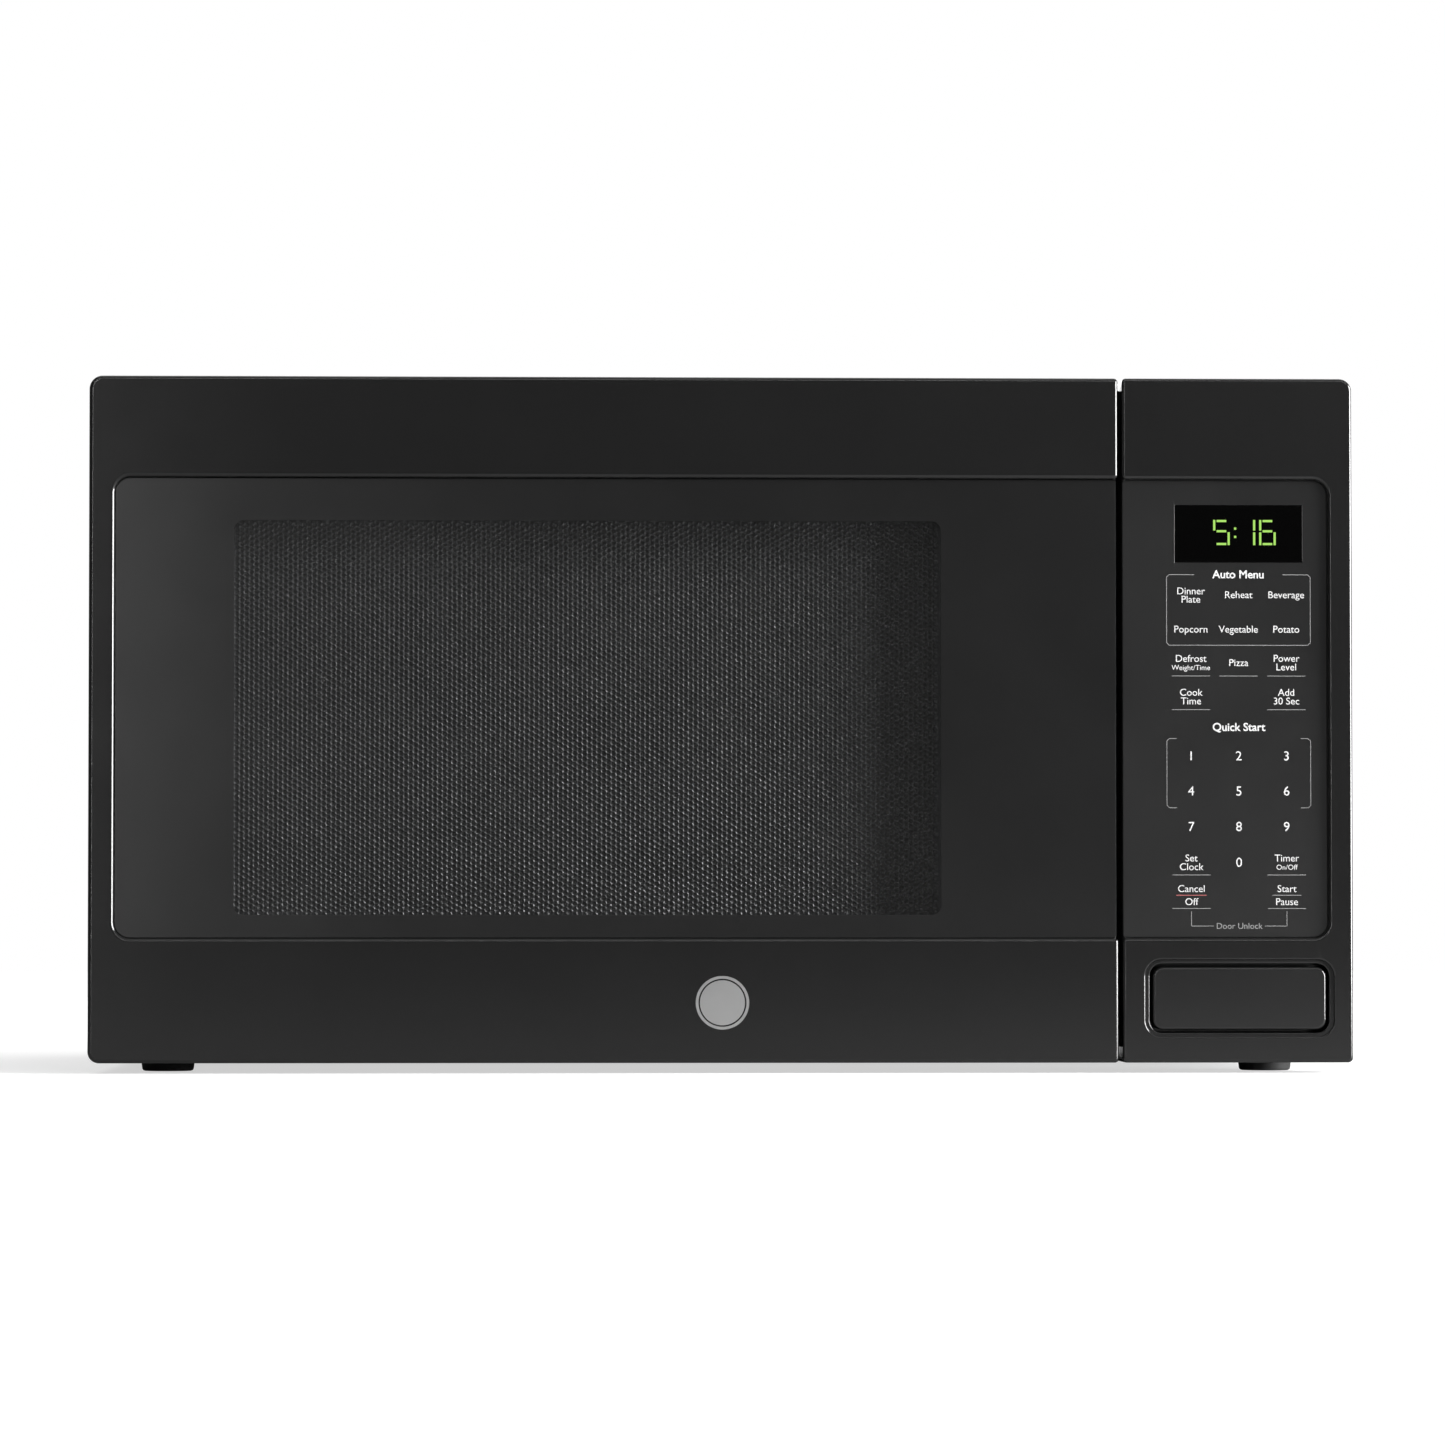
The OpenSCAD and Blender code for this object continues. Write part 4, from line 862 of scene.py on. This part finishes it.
def frames(dark, top):
    """The printed frame round the menu keys and the brackets beside the number keys."""
    y = OVERLAY.y - INK
    half = 34.9 * MM
    width = 0.3 * MM

    def path(*points):
        for (x0, z0), (x1, z1) in zip(points, points[1:]):
            dark.append(bar(MIDDLE + x0, top - z0 * MM, MIDDLE + x1, top - z1 * MM, width, y))

    for side in (-1, 1):
        cut = side * 1.2 * MM
        path((side * 21.5 * MM, 5.9), (side * half - cut, 5.9), (side * half, 7.1), (side * half, 38.9),
             (side * half - cut, 40.1), (0, 40.1))
        arm = side * (half - 4.8 * MM)
        path((arm, 85.3), (side * half - cut, 85.3), (side * half, 86.5), (side * half, 117.6),
             (side * half - cut, 118.8), (arm, 118.8))
        path((side * COLUMN, 168.9), (side * COLUMN, 176.0), (side * 12.4 * MM, 176.0))


def push_button():
    """The release button: a plate with soft edges, a hollow back and a stem."""
    stem_y = BUTTON.y + 13 * MM
    piece = slab("push_button", BUTTON, Vector((BUTTON_HI.x, stem_y, BUTTON_HI.z)), (5 * MM,) * 4, 10)
    ease(piece, 1.4 * MM, 5, both(at_depth(BUTTON.y)))
    middle = (BUTTON + BUTTON_HI) / 2
    wall = 2.5 * MM
    for side in (-1, 1):
        x0, x1 = sorted((middle.x + side * 7.5 * MM, middle.x + side * (BUTTON_HI.x - middle.x - wall)))
        carve(piece, slab("cutter", Vector((x0, BUTTON.y + wall, BUTTON.z + wall)),
                          Vector((x1, stem_y + MM, BUTTON_HI.z - wall)), (2 * MM,) * 4, 4))
    stem = slab("stem", Vector((middle.x - 5 * MM, stem_y - 0.2 * MM, middle.z - 2 * MM)),
                Vector((middle.x + 5 * MM, BUTTON_HI.y, middle.z + 2 * MM)), (0.4 * MM,) * 4, 2)
    piece = join("push_button", [piece, stem])
    finished(piece, "button", "black_moulding", button_abs, "release_button")


panel_front()
guide_wall()
keypad()
display()
segments()
legends()
push_button()


# ---------------------------------------------------------------- case and cavity

def liner():
    """The cavity: a pressed and welded box with rounded inner corners, vents and lamp holes."""
    low, high = box("cavity_liner")
    sheet = 0.8 * MM
    middle = (low + high) / 2
    bpy.ops.mesh.primitive_cube_add(size=1, location=middle)
    piece = bpy.context.object
    piece.name = "oven_liner"
    piece.scale = high - low - Vector((2 * sheet, sheet, 2 * sheet))
    piece.location = middle + Vector((0, -sheet / 2, 0))
    apply_place(piece)
    mesh = edit(piece, "FACE")
    for face in mesh.polygons:
        face.select = face.normal.y < -0.9
    bpy.ops.object.mode_set(mode="EDIT")
    bpy.ops.mesh.delete(type="FACE")
    done()
    ease(piece, 3 * MM, 4, lambda a, b: (a.y + b.y) / 2 > low.y + 5 * MM)
    only(piece)
    bpy.ops.object.mode_set(mode="EDIT")
    bpy.ops.mesh.select_all(action="SELECT")
    bpy.ops.mesh.normals_make_consistent(inside=False)
    done()
    use_modifier(piece, "SOLIDIFY", thickness=sheet, offset=1.0)
    lamp_low, lamp_hi = box("lamp")
    lamp = (lamp_low + lamp_hi) / 2
    holes = [disc("hole", Vector((high.x - 4 * MM, lamp.y + (i - 2) * 5.5 * MM,
                                  lamp.z + (j - 1.5) * 5.5 * MM)),
                  1.5 * MM, 8 * MM, 12, "X") for i in range(5) for j in range(4)]
    duct = box("exhaust_duct")[0]
    holes += [disc("hole", Vector((duct.x + (14 + i * 7) * MM, high.y - (38 - j * 7) * MM, high.z - 4 * MM)),
                   1.7 * MM, 8 * MM, 12, "Z") for i in range(11) for j in range(4)]
    hub, hub_hi = box("drive_hub")
    centre = (hub + hub_hi) / 2
    holes.append(disc("hole", Vector((centre.x, centre.y, low.z - MM)), 8 * MM, 4 * MM, 32, "Z"))
    carve(piece, join("holes", holes))
    finished(piece, "cabinet", "cavity_enamel", enamel, "cavity_liner")


def rear():
    """The rear panel: a steel sheet with fan louvres, exhaust slots, a cord hole and two moulded spacers."""
    low, high = box("rear_panel")
    face = low.y + 0.8 * MM
    piece = slab("back_panel", low, Vector((high.x, face, high.z)), (0.4 * MM, 0.4 * MM, 8 * MM, 8 * MM), 8)
    ease(piece, 0.3 * MM, 2, both(at_depth(face)))
    fan, fan_hi = box("fan_shroud")
    fan_x, fan_z = (fan.x + fan_hi.x) / 2, (fan.z + fan_hi.z) / 2
    duct = box("exhaust_duct")[0]
    bush, bush_hi = box("cord_bush")

    def slot_cutter(x0, x1, z0, z1):
        round_r = 0.48 * min(x1 - x0, z1 - z0)
        return slab("cutter", Vector((x0, low.y - MM, z0)), Vector((x1, face + MM, z1)), (round_r,) * 4, 4)

    for i in range(11):
        z = fan_z + (8 * i - 42) * MM
        carve(piece, slot_cutter(fan_x - 40 * MM, fan_x + 40 * MM, z, z + 3.5 * MM))
    for i in range(8):
        x = duct.x + (10 + 11 * i) * MM
        carve(piece, slot_cutter(x, x + 5 * MM, duct.z + 5.2 * MM, duct.z + 23.2 * MM))
    carve(piece, disc("cutter", Vector(((bush.x + bush_hi.x) / 2, low.y - MM, (bush.z + bush_hi.z) / 2)),
                      8 * MM,
                      3 * MM, 48))
    finished(piece, "cabinet", "galvanised_steel", galvanised, "rear_panel")
    spacers = []
    for x in (low.x + 60 * MM, high.x - 60 * MM):
        spacer = disc("spacer", Vector((x, face - 0.01 * MM, high.z - 45 * MM)), 9 * MM, high.y - face, 48)
        ease(spacer, 1.5 * MM, 4, both(lambda p: abs(p.y - high.y) < 1e-4))
        spacers.append(spacer)
    finished(join("rear_spacers", spacers), "cabinet", "galvanised_steel", black_abs)


def tray():
    """The glass turntable: a pressed plate with a turned-up rim and a thick rounded lip."""
    low, high = box("glass_tray")
    centre = (low + high) / 2
    r = (high.x - low.x) / 2
    plate = low.z + 5 * MM
    thick = 5 * MM
    top = high.z
    outline = [(0, plate), (r - 22 * MM, plate), (r - 17 * MM, plate + 0.6 * MM), (r - 3 * MM, top - 5 * MM),
               (r - 0.6 * MM, top - 3.2 * MM), (r, top - 1.6 * MM), (r - 0.6 * MM, top - 0.4 * MM),
               (r - 2 * MM, top),
               (r - 3.6 * MM, top - 0.8 * MM), (r - 20 * MM, plate + thick + 1.4 * MM),
               (r - 26 * MM, plate + thick), (0, plate + thick)]
    bpy.ops.mesh.primitive_plane_add(size=1)
    piece = bpy.context.object
    piece.name = "turntable_glass"
    mesh = piece.data
    mesh.clear_geometry()
    points = [(x, 0, z) for x, z in outline]
    mesh.from_pydata(points, [(i, i + 1) for i in range(len(points) - 1)], [])
    only(piece)
    bpy.ops.object.mode_set(mode="EDIT")
    bpy.ops.mesh.select_all(action="SELECT")
    bpy.ops.mesh.spin(steps=128, angle=2 * pi, center=(0, 0, 0), axis=(0, 0, 1))
    done()
    outward(piece)
    piece.location = (centre.x, centre.y, 0)
    apply_place(piece)
    lugs = []
    for i in range(3):
        turn = radians(60 + 120 * i)
        bpy.ops.mesh.primitive_cube_add(size=1, rotation=(0, 0, turn),
                                        location=(centre.x + 15 * MM * cos(turn),
                                                  centre.y + 15 * MM * sin(turn),
                                                  plate - 2.3 * MM))
        lug = bpy.context.object
        lug.scale = (8 * MM, 10 * MM, 5.2 * MM)
        apply_place(lug)
        use_modifier(lug, "BEVEL", width=0.8 * MM, segments=2)
        lugs.append(lug)
    piece = join("turntable_glass", [piece] + lugs)
    finished(piece, "tray", "tray_glass", tray_glass, "glass_tray", angle=40)


def spring(node, name, body, material, axis, turns=6):
    """A coil spring of round wire, carried by the moving body."""
    low, high = box(node)
    along = {"Y": 1, "Z": 2}[axis]
    middle = (low + high) / 2
    wire_r = 0.4 * MM
    radius = (high.x - low.x) / 2 - wire_r
    length = high[along] - low[along] - 2 * wire_r
    bpy.ops.mesh.primitive_circle_add(vertices=12, radius=wire_r, location=(radius, 0, 0),
                                      rotation=(pi / 2, 0, 0))
    piece = bpy.context.object
    piece.name = name
    apply_place(piece)
    use_modifier(piece, "SCREW", angle=2 * pi * turns, screw_offset=length, steps=32 * turns,
                 render_steps=32 * turns,
                 use_merge_vertices=False)
    edit(piece)
    bpy.ops.object.mode_set(mode="EDIT")
    bpy.ops.mesh.select_non_manifold()
    bpy.ops.mesh.edge_face_add()
    done()
    if axis == "Y":
        piece.rotation_euler = (-pi / 2, 0, 0)
        piece.location = (middle.x, low.y + wire_r, middle.z)
    else:
        piece.location = (middle.x, middle.y, low.z + wire_r)
    apply_place(piece)
    outward(piece)
    finished(piece, body, "spring_steel", material, node, angle=40)
    anchor = middle.copy()
    anchor[along] = low[along]
    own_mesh(piece)


liner()
tray()

rear()

for node, name, body, slot, material, width in (
        ("cabinet_wrap", "case_wrap", "cabinet", "painted_steel_black", black_coat, 0.25),
        ("base_plate", "base_pan", "cabinet", "galvanised_steel", galvanised, 0.2),
        # The cavity front is black: a finish that suits a black model, and painted shade that keeps the gap
        # round the door dark.
        ("front_frame", "cavity_front", "cabinet", "painted_steel_black", black_coat, 0.2),
        ("feet", "rubber_feet", "cabinet", "foot_rubber", neoprene, 1.2),
        ("cord_bush", "cord_outlet_bush", "cabinet", "foot_rubber", neoprene, 0.5),
        ("choke_cover", "door_inner_cover", "door", "black_moulding", black_abs, 0.3),
        ("choke_frame", "door_steel_frame", "door", "galvanised_steel", screen_paint, 0.15),
        ("latch_hooks", "latch_hook_bar", "hooks", "natural_nylon", nylon, 0.5),
        ("release_lever", "latch_lever", "lever", "natural_nylon", nylon, 0.4),
        ("latch_board", "latch_bracket", "cabinet", "natural_nylon", nylon, 0.3),
        ("roller_ring", "turntable_ring", "ring", "natural_nylon", nylon, 0.5),
        ("roller_a", "wheel_one", "wheel_a", "natural_nylon", nylon, 0.5),
        ("roller_b", "wheel_two", "wheel_b", "natural_nylon", nylon, 0.5),
        ("roller_c", "wheel_three", "wheel_c", "natural_nylon", nylon, 0.5),
        ("drive_hub", "turntable_coupler", "hub", "natural_nylon", nylon, 0.5),
        ("fan_blade", "cooling_fan", "fan", "natural_nylon", nylon, 0.25),
        ("screws", "case_screws", "cabinet", "zinc_plate", zinc, 0.5)):
    finished(eased_copy(node, name, width * MM), body, slot, material, node)

spring("latch_spring", "hook_spring", "hooks", wire, "Z")
spring("button_spring", "press_spring", "button", wire, "Y")


# ---------------------------------------------------------------- finishes of the inner CAD parts

INNER = {
    galvanised: ("waveguide", "magnetron", "magnetron_filter_box", "turntable_motor", "capacitor_strap",
                 "hinge_upper", "hinge_lower", "humidity_sensor"),
    aluminium: ("magnetron_fins", "capacitor"),
    laminations: ("transformer_core", "fan_motor"),
    copper: ("transformer_windings",),
    nylon: ("fan_shroud", "air_duct", "exhaust_duct", "lamp_housing"),
    board_green: ("control_board", "filter_board"),
    phenolic: ("display_module", "diode", "interlock_switches", "thermal_cutouts"),
    acetal: ("switch_plunger_a", "switch_plunger_b", "switch_plunger_c"),
    mica: ("wave_inlet_cover",),
    lamp_glass: ("lamp", "fuse"),
}
for material, nodes in INNER.items():
    for node in nodes:
        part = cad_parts[node]
        for place in part.material_slots:
            place.material = material
